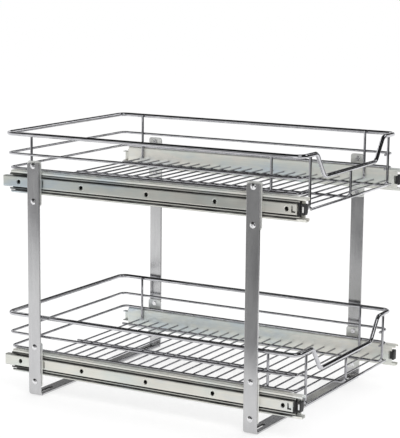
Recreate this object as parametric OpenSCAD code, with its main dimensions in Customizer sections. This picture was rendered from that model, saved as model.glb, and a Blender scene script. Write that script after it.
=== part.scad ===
// Two-tier pull out cabinet basket.
// Two bent strap frames stand on the cabinet floor. Each tier has a pair of
// three-member ball bearing slides held between the frames, and a wire basket
// that hangs between the outer channels of that pair.
// The front faces -Y, +Z is up, and the origin is on the floor, in the middle
// of the overall width and of the overall depth with both tiers pushed in.
// Left is -X. Every left-hand piece is mirrored to make the right-hand one.

/* [Frames] */
// Width over the outside of the uprights
frame_w = 366; // [345:1:420]
// Height of the uprights
frame_h = 368; // [360:1:440]
// Width of the strap that the frames are bent from
bar_w = 22; // [18:0.5:30]
// Thickness of the strap
bar_t = 3; // [2:0.1:4]
// Inside radius of the two bends at the floor
bend_r = 3; // [1:0.5:8]
// Corner radius at the top of each upright
bar_corner_r = 4; // [1:0.5:8]
// Distance from one frame's front edge to the other's
bar_pitch = 381.5; // [330:0.5:400]

/* [Floor slots] */
// End-to-end length of each screw slot in the floor strap
slot_len = 34; // [16:1:60]
// Width of each screw slot
slot_w = 6.4; // [4.5:0.1:9]
// Distance from the outside of the upright to the slot's outer end
slot_inset = 13; // [10:1:40]

/* [Brackets] */
// Width of a bracket plate
plate_w = 25; // [22:0.5:34]
// Height of a bracket plate
plate_h = 70; // [66:0.5:84]
// Thickness of a bracket plate
plate_t = 2.2; // [1.5:0.1:3]
// Corner radius of a bracket plate
plate_corner_r = 4; // [1:0.5:8]
// Distance between the two frame rivets of a bracket
rivet_pitch = 55.4; // [50:0.2:58]
// Shank diameter of a frame rivet
rivet_d = 5; // [3:0.1:6]
// Diameter of a frame rivet's domed head
rivet_head_d = 9.4; // [8:0.1:12]
// Height of the domed head
rivet_head_h = 2.4; // [1.5:0.1:3.5]
// Height of the flat head on the inner side
rivet_tail_h = 1.4; // [0.8:0.1:2]
// Clearance round a rivet's shank
rivet_clearance = 0.15; // [0.05:0.05:0.4]

/* [Slides] */
// Height of the lower slides' centre line above the floor
slide_z = 50; // [48:0.5:70]
// Distance between the lower and the upper slides
tier_pitch = 286; // [270:1:300]
// Length of the fixed rail and of the outer channel
slide_len = 508; // [480:1:520]
// How far the fixed rail's front end stands ahead of the front frame
slide_front = 55.5; // [30:0.5:70]
// How far the outer channel's front end stands ahead of the fixed rail's
channel_lead = 14; // [13.5:0.5:25]
// How far the middle rail's front end stands ahead of the fixed rail's
middle_lead = 3.4; // [3:0.1:3.8]
// Length of the middle rail
middle_len = 500; // [470:1:505]
// Height of the outer channel
slide_h = 35; // [33:0.5:40]
// Thickness of the closed slide
slide_t = 12.7; // [12:0.1:15]
// Sheet thickness of the fixed rail and the outer channel
sheet_t = 1.2; // [1:0.05:1.4]
// Sheet thickness of the middle rail
middle_t = 1; // [0.8:0.05:1.2]
// Running clearance between members, cages and balls
run_gap = 0.3; // [0.2:0.05:0.4]
// Diameter of a bearing ball
ball_d = 2.8; // [2.2:0.1:3]
// Number of balls in each row of a cage
row_balls = 5; // [3:1:8]
// Distance between neighbouring balls
ball_pitch = 12.4; // [8:0.2:14]
// Sheet thickness of the ball cages
cage_t = 0.5; // [0.3:0.05:0.6]
// Distance of the inner cage's middle behind the fixed rail's front end
inner_cage_y = 306.5; // [280:0.5:330]
// Distance of the outer cage's middle behind the fixed rail's front end
outer_cage_y = 243.5; // [200:0.5:270]
// Diameter of the holes in the fixed rail's web
web_hole_d = 6.4; // [3.5:0.1:7.5]
// Distance between neighbouring web holes
web_hole_pitch = 115.7; // [90:0.1:117]
// Distance from the fixed rail's front end to its first web hole
web_hole_inset = 16.2; // [13:0.1:20]
// Number of web holes
web_holes = 5; // [1:1:5]

/* [Baskets] */
// Distance from the front rail's centre to the front frame's front edge
basket_front = 57; // [45:1:62]
// Depth of a basket, between the centres of its front and rear top rails
basket_len = 511; // [480:1:530]
// Height of the top rail above the slides' centre line
top_rail_z = 73; // [60:1:90]
// Height of the middle rail above the slides' centre line
mid_rail_z = 42; // [32:1:50]
// Diameter of the top rail
rail_d = 6.4; // [5:0.1:8]
// Diameter of the other frame wires of a basket
wire_d = 4; // [3:0.1:5]
// Diameter of the wires of the floor grid
grid_d = 2.6; // [2:0.1:3.2]
// Distance between neighbouring wires of the floor grid
grid_pitch = 20; // [14:0.5:26]
// Depth of the grid's long wires below the slides' centre line
floor_drop = 6; // [3:0.5:9]
// Drop of the handle below the top rail
handle_drop = 36; // [20:1:40]
// Half the width of the straight part of the handle
handle_half = 92; // [60:1:100]
// Half the distance between the two outer front stays
stay_half = 140; // [134:1:150]
// Distance of the front side stays behind the front frame's front edge
side_stay_front = -7; // [-20:1:10]
// Distance between the front and rear side stays
side_stay_pitch = 416; // [380:1:430]
// Bend radius of the top rail
rail_bend = 13; // [10:0.5:18]
// Bend radius of the other wires
wire_bend = 9; // [6:0.5:12]
// Gap at the welds, where wires meet side by side
weld_gap = 0.1; // [0.05:0.05:0.2]

/* [Hidden] */
left = -1;
right = 1;
eps = 0.5;
$fn = 48;

// Places along Y. The front frame's front edge is the datum that the sizes use.
channel_front = slide_front + channel_lead;
rail_rear = basket_len - basket_front;
y_datum = (channel_front - rail_rear - rail_d / 2) / 2;
y_front_bar = y_datum;
y_rear_bar = y_datum + bar_pitch;
y_fixed = y_datum - slide_front;
y_middle_rail = y_fixed - middle_lead;
y_channel = y_datum - channel_front;

// Places across X, on the left-hand side, as distances from the middle.
plate_x = frame_w / 2 - bar_t;
slide_x = plate_x - plate_t;
basket_x = slide_x - slide_t;
stay_x = basket_x - wire_d / 2 - weld_gap;
side_rail_x = stay_x + wire_d + weld_gap;
top_rail_x = stay_x + (wire_d + rail_d) / 2 + weld_gap;

// Section of a slide. Distances in s run from the bracket plate towards the
// basket, and distances in v run up from the slide's centre line.
ball_r = ball_d / 2;
outer_ball_v = slide_h / 2 - sheet_t - run_gap - ball_r;
middle_half = outer_ball_v - ball_r - run_gap;
inner_ball_v = middle_half - middle_t - run_gap - ball_r;
fixed_half = inner_ball_v - ball_r - run_gap;
outer_lip_gap = 0.4;
middle_lip_gap = 1.4;
outer_lip_v = middle_half + outer_lip_gap;
middle_lip_v = fixed_half + middle_lip_gap;
channel_open_s = 0.9;
middle_open_s = 1.6;
ball_from_lip = 1.2;
middle_web_s = slide_t - sheet_t - 2 * run_gap - cage_t;
inner_ball_s = middle_open_s + middle_t + run_gap + ball_r + ball_from_lip;
outer_ball_s = inner_ball_s;
inner_cage_s = middle_web_s - middle_t - run_gap;
outer_cage_s = middle_web_s + run_gap + cage_t;
fixed_depth = inner_cage_s - cage_t - run_gap;
cage_end = 7;
cage_rim = 1;
ball_hole_gap = 0.15;
cage_len = (row_balls - 1) * ball_pitch + 2 * cage_end;
cage_edge_s = inner_ball_s - ball_r - cage_rim;
outer_bend = 2.4;
middle_bend = 1.8;
fixed_bend = 1.6;
lance_w = 2.4;
lance_h = 10;
lance_inset = 8.8;
// A slot through the fixed rail's web, just ahead of the rear bracket plate.
rear_slot_w = 1.8;
rear_slot_h = 11;
rear_slot_gap = 1;
web_rivet_d = 4;
web_rivet_head_d = 8;
web_rivet_head_h = 1.2;

// How much smaller a frame rivet's inner head is than its dome, at the radius.
rivet_tail_step = 0.8;

// Bumper at the front end of an outer channel.
bumper_h = 16;
bumper_len = 6.8;
bumper_s = 2.4;
bumper_peg_d = 4;
bumper_from_front = 2.6;
bumper_corner_r = 1.5;

// Stop strip across the front mouth of a middle rail, ahead of the fixed rail.
stop_peg_d = 1.6;
stop_corner_r = 0.8;

// Heights of the basket wires above the slides' centre line.
low_rail_z = slide_h / 2 + wire_d / 2 + weld_gap;
long_wire_z = -floor_drop;
seat_gap = 0.3;
grid_z = long_wire_z + (wire_d + grid_d) / 2 + weld_gap;
handle_z = top_rail_z - handle_drop;
// The handle's sides run three across for four down.
handle_run = handle_drop * 3 / 4;
side_stay_foot = grid_z + grid_d / 2 + seat_gap;
side_stay_head = top_rail_z + wire_d / 2;

// Places along Y of the basket wires.
y_front_rail = y_datum - basket_front;
y_top_rear = y_front_rail + basket_len;
mid_rail_step = 2.5;
low_rail_step = 6;
y_mid_rear = y_top_rear - mid_rail_step;
y_low_rear = y_top_rear - low_rail_step;
y_inside_stay = y_front_rail + wire_d + weld_gap;
y_outside_stay = y_front_rail - wire_d - weld_gap;
y_grid_first = y_inside_stay + grid_pitch / 2;
grid_margin = 6;
y_grid_last = y_channel + slide_len - grid_margin;
grid_count = floor((y_grid_last - y_grid_first) / grid_pitch) + 1;
rail_tail = 2;

// ---------------------------------------------------------------- helpers

function tier_z(tier) = slide_z + tier * tier_pitch;
function unit(v) = v / norm(v);

// Euler angles that turn the axes X, Y, Z onto the unit vectors a, b and a x b.
function frame_angles(a, b) = let (c = cross(a, b))
    abs(a[2]) > 0.99999
        ? [atan2(a[2] > 0 ? -b[0] : b[0], b[1]), a[2] > 0 ? -90 : 90, 0]
        : [atan2(b[2], c[2]), -asin(a[2]), atan2(a[1], a[0])];

// A point at distance t before or after corner i of a path.
function before(points, i, t) = points[i] - t * unit(points[i] - points[i - 1]);
function after(points, i, t) = points[i] + t * unit(points[i + 1] - points[i]);
function turn(points, i) = acos(max(-1, min(1,
    unit(points[i] - points[i - 1]) * unit(points[i + 1] - points[i]))));
function setback(points, i, bend) =
    i == 0 || i == len(points) - 1 ? 0 : bend * tan(turn(points, i) / 2);

// A round rod from one point to another.
module rod(from, to, d) {
    run = to - from;
    translate(from)
        rotate([0, acos(run[2] / norm(run)), atan2(run[1], run[0])])
            cylinder(d = d, h = norm(run));
}

// The round bend of a wire at corner i of its path. A bend of less than a right
// angle is a quarter turn, cut off on the plane where the next straight starts.
module wire_corner(points, i, d, bend) {
    u = unit(points[i] - points[i - 1]);
    v = unit(points[i + 1] - points[i]);
    inward = unit(v - (u * v) * u);
    start = before(points, i, setback(points, i, bend));
    reach = 10 * bend;
    translate(start + bend * inward)
        rotate(frame_angles(-inward, u))
            intersection() {
                rotate_extrude(angle = 90) translate([bend, 0]) circle(d = d);
                if (u * v > 0.001)
                    linear_extrude(2 * d, center = true)
                        polygon(reach * [[0, 0], [0, -1], [2, -1],
                                         [2, norm(cross(u, v))], [u * v, norm(cross(u, v))]]);
            }
}

// A wire bent along a path of points, with the same bend at every corner.
module bent_wire(points, d, bend) {
    for (i = [0 : len(points) - 2])
        rod(after(points, i, setback(points, i, bend)),
            before(points, i + 1, setback(points, i + 1, bend)), d);
    if (len(points) > 2)
        for (i = [1 : len(points) - 2])
            wire_corner(points, i, d, bend);
}

// Puts a left-hand piece on either side.
module on_side(side) {
    if (side == right) mirror([1, 0, 0]) children();
    else children();
}

// A flat sheet of thickness t that stands in the Y-Z plane and starts at an X
// place, with round corners.
module upright_sheet(x, t, w, h, r) {
    translate([x, w / 2, 0]) rotate([90, 0, 90]) linear_extrude(t)
        difference() {
            translate([-w, -h / 2]) square([w, h]);
            for (c = [[-w, -h / 2], [0, -h / 2], [-w, h / 2], [0, h / 2]])
                corner_waste(c, [c[0] < 0 ? 1 : -1, c[1] < 0 ? 1 : -1], r);
        }
}

// What a round corner leaves of a square one, at a corner that opens along dir.
module corner_waste(corner, dir, r) {
    translate(corner) mirror_towards(dir) difference() {
        translate([-eps, -eps]) square(r + eps);
        translate([r, r]) circle(r);
    }
}

// Turns what opens along +X and +Y so that it opens along dir.
module mirror_towards(dir) {
    mirror([dir[0] < 0 ? 1 : 0, 0]) mirror([0, dir[1] < 0 ? 1 : 0]) children();
}

// A rectangle with round corners from true arcs.
module round_rect(x0, x1, y0, y1, r) {
    translate([x0 + r, y0]) square([x1 - x0 - 2 * r, y1 - y0]);
    translate([x0, y0 + r]) square([x1 - x0, y1 - y0 - 2 * r]);
    for (x = [x0 + r, x1 - r], y = [y0 + r, y1 - r])
        translate([x, y]) circle(r);
}

// ----------------------------------------------------------------- frames

// Section of a frame, seen from the front: a wide U with round bends.
module frame_section() {
    r = bend_r + bar_t;
    half = frame_w / 2;
    difference() {
        union() {
            for (x = [r - half, half - r]) translate([x, r]) circle(r);
            translate([r - half, 0]) square([frame_w - 2 * r, 2 * r]);
            translate([-half, r]) square([frame_w, frame_h - r]);
        }
        for (x = [r - half, half - r]) translate([x, r]) circle(bend_r);
        translate([r - half, bar_t]) square([frame_w - 2 * r, 2 * r]);
        translate([bar_t - half, r]) square([frame_w - 2 * bar_t, frame_h]);
    }
}

// One frame with its rivet holes, floor slots and rounded upright ends.
module frame(y) {
    half = frame_w / 2;
    color([0.66, 0.66, 0.67]) difference() {
        translate([0, y + bar_w, 0]) rotate([90, 0, 0])
            linear_extrude(bar_w) frame_section();
        for (tier = [0, 1], side = [left, right], up = [-1, 1])
            translate([side * (half - bar_t - eps), y + bar_w / 2,
                       tier_z(tier) + up * rivet_pitch / 2])
                rotate([0, side * 90, 0])
                    cylinder(d = rivet_d + 2 * rivet_clearance, h = bar_t + 2 * eps);
        for (side = [left, right])
            floor_slot(side * (half - slot_inset - slot_len / 2), y + bar_w / 2);
        for (side = [left, right], rear = [0, 1])
            translate([side * half - side * bar_t / 2, y + rear * bar_w, frame_h])
                upright_corner(rear == 0 ? 1 : -1);
    }
}

// Waste of a round corner at the top of an upright.
module upright_corner(dir) {
    translate([-bar_t / 2 - eps, 0, 0]) rotate([90, 0, 90])
        linear_extrude(bar_t + 2 * eps)
            corner_waste([0, 0], [dir, -1], bar_corner_r);
}

// A through slot along X, with round ends.
module floor_slot(x, y) {
    run = slot_len - slot_w;
    translate([x, y, -eps]) {
        for (end = [-1, 1]) translate([end * run / 2, 0, 0])
            cylinder(d = slot_w, h = bar_t + 2 * eps);
        translate([-run / 2, -slot_w / 2, 0]) cube([run, slot_w, bar_t + 2 * eps]);
    }
}

// A bracket plate between an upright and a fixed rail.
module bracket(side, tier, y) {
    color([0.78, 0.8, 0.76]) on_side(side) translate([0, y + bar_w / 2, tier_z(tier)])
        difference() {
            upright_sheet(-plate_x, plate_t, plate_w, plate_h, plate_corner_r);
            for (up = [-1, 1])
                across_hole(-plate_x, plate_t, up * rivet_pitch / 2, rivet_d);
            across_hole(-plate_x, plate_t, 0, web_rivet_d);
        }
}

// A rivet hole through a sheet that stands in the Y-Z plane.
module across_hole(x, t, z, d) {
    translate([x - eps, 0, z]) rotate([0, 90, 0])
        cylinder(d = d + 2 * rivet_clearance, h = t + 2 * eps);
}

// A domed rivet through an upright and its bracket plate, at a height above the tier.
module frame_rivet() {
    dome_r = (pow(rivet_head_d / 2, 2) + pow(rivet_head_h, 2)) / (2 * rivet_head_h);
    rotate([0, 90, 0]) rotate_extrude() union() {
        intersection() {
            translate([0, dome_r - rivet_head_h]) circle(dome_r, $fn = 96);
            translate([0, -rivet_head_h]) square([rivet_head_d / 2, rivet_head_h]);
        }
        square([rivet_d / 2, bar_t + plate_t]);
        translate([0, bar_t + plate_t])
            square([rivet_head_d / 2 - rivet_tail_step, rivet_tail_h]);
    }
}

module frame_rivets(y) {
    color([0.8, 0.8, 0.82])
        for (tier = [0, 1], side = [left, right], up = [-1, 1])
            on_side(side)
                translate([-frame_w / 2, y + bar_w / 2,
                           tier_z(tier) + up * rivet_pitch / 2])
                    frame_rivet();
}

// A flat rivet that holds a fixed rail's web to a bracket plate.
module slide_rivet() {
    rotate([0, 90, 0]) rotate_extrude() union() {
        square([web_rivet_d / 2, plate_t + sheet_t + web_rivet_head_h]);
        translate([0, plate_t + sheet_t])
            square([web_rivet_head_d / 2, web_rivet_head_h]);
    }
}

module slide_rivets() {
    color([0.7, 0.7, 0.72])
        for (tier = [0, 1], side = [left, right], y = [y_front_bar, y_rear_bar])
            on_side(side)
                translate([-plate_x, y + bar_w / 2, tier_z(tier)])
                    slide_rivet();
}

// ----------------------------------------------------------------- slides

// Extrudes a slide section along Y. The section's x is s and its y is v.
module along_slide(side, tier, y, length) {
    on_side(side) translate([-slide_x, y + length, tier_z(tier)])
        rotate([90, 0, 0]) linear_extrude(length) children();
}

// Fixed rail: a narrow channel whose edges are the inner ball tracks.
module fixed_section() {
    difference() {
        round_rect(0, fixed_depth + 2 * fixed_bend, -fixed_half, fixed_half, fixed_bend);
        round_rect(sheet_t, fixed_depth + 4 * fixed_bend,
                   sheet_t - fixed_half, fixed_half - sheet_t, fixed_bend - sheet_t / 2);
        translate([fixed_depth, -fixed_half - eps])
            square([4 * fixed_bend, 2 * fixed_half + 2 * eps]);
    }
}

// A channel with its web at s1, arms back to s0, and lips turned in to lip_v.
module lipped_section(s0, s1, half, t, bend, lip_v) {
    difference() {
        round_rect(s0, s1, -half, half, bend);
        round_rect(s0 + t, s1 - t, t - half, half - t, bend - t * 0.7);
        translate([s0 - eps, -lip_v]) square([t + 2 * eps, 2 * lip_v]);
    }
}

module fixed_rail(side, tier) {
    color([0.75, 0.76, 0.7]) difference() {
        along_slide(side, tier, y_fixed, slide_len) fixed_section();
        on_side(side) translate([-slide_x, 0, tier_z(tier)]) {
            for (i = [0 : web_holes - 1])
                web_bore(y_fixed + web_hole_inset + i * web_hole_pitch, 0, web_hole_d);
            for (y = [y_front_bar, y_rear_bar])
                web_bore(y + bar_w / 2, 0, web_rivet_d + 2 * rivet_clearance);
            translate([-eps, y_rear_bar + (bar_w - plate_w) / 2 - rear_slot_gap - rear_slot_w,
                       -rear_slot_h / 2])
                cube([sheet_t + 2 * eps, rear_slot_w, rear_slot_h]);
            lanced_catch();
        }
    }
}

// A round hole through the fixed rail's web.
module web_bore(y, z, d) {
    translate([-eps, y, z]) rotate([0, 90, 0]) cylinder(d = d, h = sheet_t + 2 * eps);
}

// The L-shaped cut that frees the spring catch at the fixed rail's front end.
module lanced_catch() {
    y = y_fixed + lance_inset;
    translate([-eps, y - lance_w, -lance_h / 2]) cube([sheet_t + 2 * eps, lance_w, lance_h]);
    translate([-eps, y - lance_inset + lance_w, -lance_h / 2])
        cube([sheet_t + 2 * eps, lance_inset - lance_w, lance_w]);
}

module middle_rail(side, tier) {
    color([0.72, 0.74, 0.7])
        difference() {
            along_slide(side, tier, y_middle_rail, middle_len)
                lipped_section(middle_open_s, middle_web_s, middle_half, middle_t,
                               middle_bend, middle_lip_v);
            on_side(side) translate([middle_web_s - middle_t - slide_x - eps, stop_y(), tier_z(tier)])
                rotate([0, 90, 0]) cylinder(d = stop_peg_d + 2 * rivet_clearance,
                                            h = middle_t + 2 * eps);
        }
}

// The stop strip's middle along Y. It lies between the middle rail's front end
// and the fixed rail's.
function stop_y() = y_fixed - middle_lead / 2;

// Rubbery stop strip, held by a peg in the middle rail's web.
module middle_stop(side, tier) {
    s0 = middle_open_s + middle_t + seat_gap;
    s1 = middle_web_s - middle_t - weld_gap;
    half = middle_half - middle_t - seat_gap;
    strip = middle_lead - 2 * seat_gap;
    color([0.08, 0.08, 0.08]) on_side(side)
        translate([-slide_x, stop_y(), tier_z(tier)]) {
            translate([0, strip / 2, 0]) rotate([90, 0, 0]) linear_extrude(strip)
                round_rect(s0, s1, -half, half, stop_corner_r);
            translate([s1 - eps, 0, 0]) rotate([0, 90, 0])
                cylinder(d = stop_peg_d, h = middle_web_s - s1 + eps);
        }
}

module outer_channel(side, tier) {
    color([0.8, 0.8, 0.72]) difference() {
        along_slide(side, tier, y_channel, slide_len)
            lipped_section(channel_open_s, slide_t, slide_h / 2, sheet_t,
                           outer_bend, outer_lip_v);
        on_side(side) translate([slide_t - sheet_t - slide_x - eps, bumper_y(), tier_z(tier)])
            rotate([0, 90, 0]) cylinder(d = bumper_peg_d + 2 * rivet_clearance,
                                        h = sheet_t + 2 * eps);
    }
}

function bumper_y() = y_channel + bumper_from_front + bumper_len / 2;

// Rubbery stop block in the mouth of the outer channel, with a slot in its face.
module bumper(side, tier) {
    depth = slide_t - sheet_t - bumper_s;
    color([0.08, 0.08, 0.08]) on_side(side)
        translate([bumper_s - slide_x, bumper_y(), tier_z(tier)]) difference() {
            union() {
                translate([depth, bumper_len / 2, 0]) rotate([90, 0, 0])
                    linear_extrude(bumper_len)
                        round_rect(-depth, 0, -bumper_h / 2, bumper_h / 2, bumper_corner_r);
                rotate([0, 90, 0]) cylinder(d = bumper_peg_d, h = depth + sheet_t);
            }
            translate([-eps, -bumper_len / 4, -bumper_h / 4])
                cube([depth / 2, bumper_len / 4, bumper_h / 2]);
        }
}

// The strip of a ball cage: a web with two arms that carry the rows of balls.
// Its web lies towards the basket, with its inner face at s1.
module cage_section(s1, v) {
    translate([s1, -v - cage_t / 2]) square([cage_t, 2 * v + cage_t]);
    for (up = [-1, 1])
        translate([cage_edge_s, up * v - cage_t / 2]) square([s1 - cage_edge_s + cage_t, cage_t]);
}

module ball_cage(side, tier, y_middle, s1, ball_s, v) {
    color([0.85, 0.83, 0.7]) {
        difference() {
            along_slide(side, tier, y_middle - cage_len / 2, cage_len) cage_section(s1, v);
            at_balls(side, tier, y_middle, ball_s, v)
                cylinder(d = ball_d + 2 * ball_hole_gap, h = 4 * cage_t, center = true);
        }
        at_balls(side, tier, y_middle, ball_s, v) sphere(d = ball_d);
    }
}

module at_balls(side, tier, y_middle, ball_s, v) {
    on_side(side)
        for (i = [0 : row_balls - 1], up = [-1, 1])
            translate([ball_s - slide_x, y_middle + (i - (row_balls - 1) / 2) * ball_pitch,
                       tier_z(tier) + up * v])
                children();
}

module inner_cage(side, tier) {
    ball_cage(side, tier, y_fixed + inner_cage_y, inner_cage_s - cage_t, inner_ball_s,
              inner_ball_v);
}

module outer_cage(side, tier) {
    ball_cage(side, tier, y_fixed + outer_cage_y, outer_cage_s - cage_t, outer_ball_s,
              outer_ball_v);
}

// ---------------------------------------------------------------- baskets

// Top rail: one closed wire that dips at the front to make the handle.
module top_rail(tier) {
    x = top_rail_x;
    slope_x = handle_half + handle_run;
    color([0.86, 0.86, 0.88]) translate([0, 0, tier_z(tier)])
        bent_wire([
            [0, y_top_rear, top_rail_z],
            [x, y_top_rear, top_rail_z],
            [x, y_front_rail, top_rail_z],
            [slope_x, y_front_rail, top_rail_z],
            [handle_half, y_front_rail, handle_z],
            [-handle_half, y_front_rail, handle_z],
            [-slope_x, y_front_rail, top_rail_z],
            [-x, y_front_rail, top_rail_z],
            [-x, y_top_rear, top_rail_z],
            [0, y_top_rear, top_rail_z]
        ], rail_d, rail_bend);
}

// A rail that runs round the sides and the rear, and ends at the front stays.
module open_rail(tier, z, y_rear) {
    end_x = stay_half - rail_tail;
    color([0.84, 0.84, 0.86]) translate([0, 0, tier_z(tier)])
        bent_wire([
            [-end_x, y_inside_stay, z],
            [-side_rail_x, y_inside_stay, z],
            [-side_rail_x, y_rear, z],
            [side_rail_x, y_rear, z],
            [side_rail_x, y_inside_stay, z],
            [end_x, y_inside_stay, z]
        ], wire_d, wire_bend);
}

module middle_wire(tier) {
    open_rail(tier, mid_rail_z, y_mid_rear);
}

module bottom_wire(tier) {
    open_rail(tier, low_rail_z, y_low_rear);
}

// Four upright stays on the inside of the basket's sides.
module side_stays(tier) {
    color([0.84, 0.84, 0.86])
        for (x = [-stay_x, stay_x], y = [0, side_stay_pitch])
            translate([x, y_datum + side_stay_front + y, tier_z(tier) + side_stay_foot])
                cylinder(d = wire_d, h = side_stay_head - side_stay_foot);
}

// Three wires that hang from the front rail and run back under the grid.
module front_stays(tier) {
    under_rail = top_rail_z - rail_d / 2 - weld_gap;
    color([0.84, 0.84, 0.86]) translate([0, 0, tier_z(tier)])
        for (x = [-stay_half, 0, stay_half])
            bent_wire([
                [x, y_front_rail, x == 0 ? under_rail - handle_drop : under_rail],
                [x, y_front_rail, long_wire_z],
                [x, y_grid_last + grid_d, long_wire_z]
            ], wire_d, wire_bend);
}

// Wires across the basket floor, with their ends against the outer channels.
module grid_wires(tier) {
    reach = basket_x - weld_gap;
    color([0.84, 0.84, 0.86])
        for (i = [0 : grid_count - 1])
            translate([-reach, y_grid_first + i * grid_pitch, tier_z(tier) + grid_z])
                rotate([0, 90, 0]) cylinder(d = grid_d, h = 2 * reach);
}

// The wire across the front of the basket floor, ahead of the stays.
module front_wire(tier) {
    reach = basket_x - weld_gap;
    color([0.84, 0.84, 0.86])
        translate([-reach, y_outside_stay, tier_z(tier) + long_wire_z + wire_d / 2])
            rotate([0, 90, 0]) cylinder(d = wire_d, h = 2 * reach);
}

// ------------------------------------------------------------------ nodes

frame(y_front_bar);  // front_frame
frame(y_rear_bar);  // rear_frame

bracket(left, 0, y_front_bar);  // bracket_lower_front_left
bracket(right, 0, y_front_bar);  // bracket_lower_front_right
bracket(left, 0, y_rear_bar);  // bracket_lower_rear_left
bracket(right, 0, y_rear_bar);  // bracket_lower_rear_right
bracket(left, 1, y_front_bar);  // bracket_upper_front_left
bracket(right, 1, y_front_bar);  // bracket_upper_front_right
bracket(left, 1, y_rear_bar);  // bracket_upper_rear_left
bracket(right, 1, y_rear_bar);  // bracket_upper_rear_right

frame_rivets(y_front_bar);  // front_frame_rivets
frame_rivets(y_rear_bar);  // rear_frame_rivets
slide_rivets();

fixed_rail(left, 0);  // fixed_rail_lower_left
fixed_rail(right, 0);  // fixed_rail_lower_right
fixed_rail(left, 1);  // fixed_rail_upper_left
fixed_rail(right, 1);  // fixed_rail_upper_right

middle_rail(left, 0);  // middle_rail_lower_left
middle_rail(right, 0);  // middle_rail_lower_right
middle_rail(left, 1);  // middle_rail_upper_left
middle_rail(right, 1);  // middle_rail_upper_right

outer_channel(left, 0);  // outer_channel_lower_left
outer_channel(right, 0);  // outer_channel_lower_right
outer_channel(left, 1);  // outer_channel_upper_left
outer_channel(right, 1);  // outer_channel_upper_right

inner_cage(left, 0);  // inner_cage_lower_left
inner_cage(right, 0);  // inner_cage_lower_right
inner_cage(left, 1);  // inner_cage_upper_left
inner_cage(right, 1);  // inner_cage_upper_right

outer_cage(left, 0);  // outer_cage_lower_left
outer_cage(right, 0);  // outer_cage_lower_right
outer_cage(left, 1);  // outer_cage_upper_left
outer_cage(right, 1);  // outer_cage_upper_right

bumper(left, 0);  // bumper_lower_left
bumper(right, 0);  // bumper_lower_right
bumper(left, 1);  // bumper_upper_left
bumper(right, 1);  // bumper_upper_right

middle_stop(left, 0);  // middle_stop_lower_left
middle_stop(right, 0);  // middle_stop_lower_right
middle_stop(left, 1);  // middle_stop_upper_left
middle_stop(right, 1);  // middle_stop_upper_right

top_rail(0);  // lower_top_rail
middle_wire(0);  // lower_middle_rail
bottom_wire(0);  // lower_bottom_rail
side_stays(0);  // lower_side_stays
front_stays(0);  // lower_front_stays
grid_wires(0);  // lower_grid_wires
front_wire(0);  // lower_front_wire

top_rail(1);  // upper_top_rail
middle_wire(1);  // upper_middle_rail
bottom_wire(1);  // upper_bottom_rail
side_stays(1);  // upper_side_stays
front_stays(1);  // upper_front_stays
grid_wires(1);  // upper_grid_wires
front_wire(1);  // upper_front_wire
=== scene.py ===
"""Looks of the two-tier pull out cabinet basket.

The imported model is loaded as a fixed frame. Every piece is a surface worked
out with numpy in that same frame: a round wire is a circle carried along a
path of straights and bends, a strap or a slide member is its section carried
along its length, and a plate or a stop block is a stack of closed loops.
Lengths of the object and the camera are millimetres here, and become metres in
Skin.piece() and placed(). The studio is in metres.
"""

import logging
import math
from collections.abc import Sequence
from dataclasses import dataclass
from enum import Enum

import bmesh
import bpy
import numpy as np
from mathutils import Matrix


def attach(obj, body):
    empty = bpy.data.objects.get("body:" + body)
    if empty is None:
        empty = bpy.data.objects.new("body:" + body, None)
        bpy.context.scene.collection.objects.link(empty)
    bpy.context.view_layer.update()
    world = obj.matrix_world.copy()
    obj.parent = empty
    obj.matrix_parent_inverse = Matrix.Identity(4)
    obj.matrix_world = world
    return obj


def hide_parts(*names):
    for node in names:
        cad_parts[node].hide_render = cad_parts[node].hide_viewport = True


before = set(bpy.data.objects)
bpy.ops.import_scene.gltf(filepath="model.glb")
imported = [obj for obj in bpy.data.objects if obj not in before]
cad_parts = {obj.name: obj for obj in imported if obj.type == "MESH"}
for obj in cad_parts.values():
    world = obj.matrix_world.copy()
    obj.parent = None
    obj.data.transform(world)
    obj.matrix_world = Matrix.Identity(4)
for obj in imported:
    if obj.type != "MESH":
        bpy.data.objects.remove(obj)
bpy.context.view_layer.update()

log = logging.getLogger("basket")
Array = np.ndarray
Pair = tuple[float, float]
Triple = tuple[float, float, float]

MM = 0.001
UP = np.array([0.0, 0.0, 1.0])
BACK = np.array([0.0, 1.0, 0.0])
# Gap between pieces that touch in the real object, such as welded wires.
CLEARANCE = 0.1
# Points closer than the first are one point, edges under the second are none.
MERGE_M = 2e-6
NO_LENGTH_M = 1e-7
SHARP_DEG = 32.0


class Side(Enum):
    """Which side of the basket; the value is the sign of X."""

    LEFT = -1
    RIGHT = 1

    def inwards(self) -> Array:
        """The direction from this side to the middle."""
        return np.array([-float(self.value), 0.0, 0.0])


class Tier(Enum):
    """A tier; the value is the height of its slides' centre line."""

    LOWER = 50.0
    UPPER = 336.0

    @property
    def word(self) -> str:
        """The tier's word in node names."""
        return self.name.lower()


class Place(Enum):
    """The two frames; the value is the Y of the middle of the strap."""

    FRONT = -182.85
    REAR = 198.65


class Cell(Enum):
    """What a part of the fixed rail's web holds."""

    PLAIN = "nothing"
    HOLE = "a screw hole"
    CATCH = "the catch's cut"
    SLOT = "the rear slot"


class EndShape(Enum):
    """How a wire ends."""

    CUT = "cut square with a worn edge"
    CLOSED = "runs into its own start"


# ------------------------------------------------------------------ shapes


def unit(v: Array) -> Array:
    """The vector v at length one."""
    return v / np.linalg.norm(v)


def turned(v: Array, axis: Array, angles: Array) -> Array:
    """The vector v turned about a unit axis by each angle.

    Formula: v cos a + (axis x v) sin a + axis (axis . v)(1 - cos a).

    Args:
        v: Vector of 3 numbers.
        axis: Unit vector to turn about.
        angles: The n angles in radians.

    Returns:
        An n by 3 array.
    """
    c, s = np.cos(angles)[:, None], np.sin(angles)[:, None]
    return v * c + np.cross(axis, v) * s + axis * (axis @ v) * (1 - c)


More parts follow.
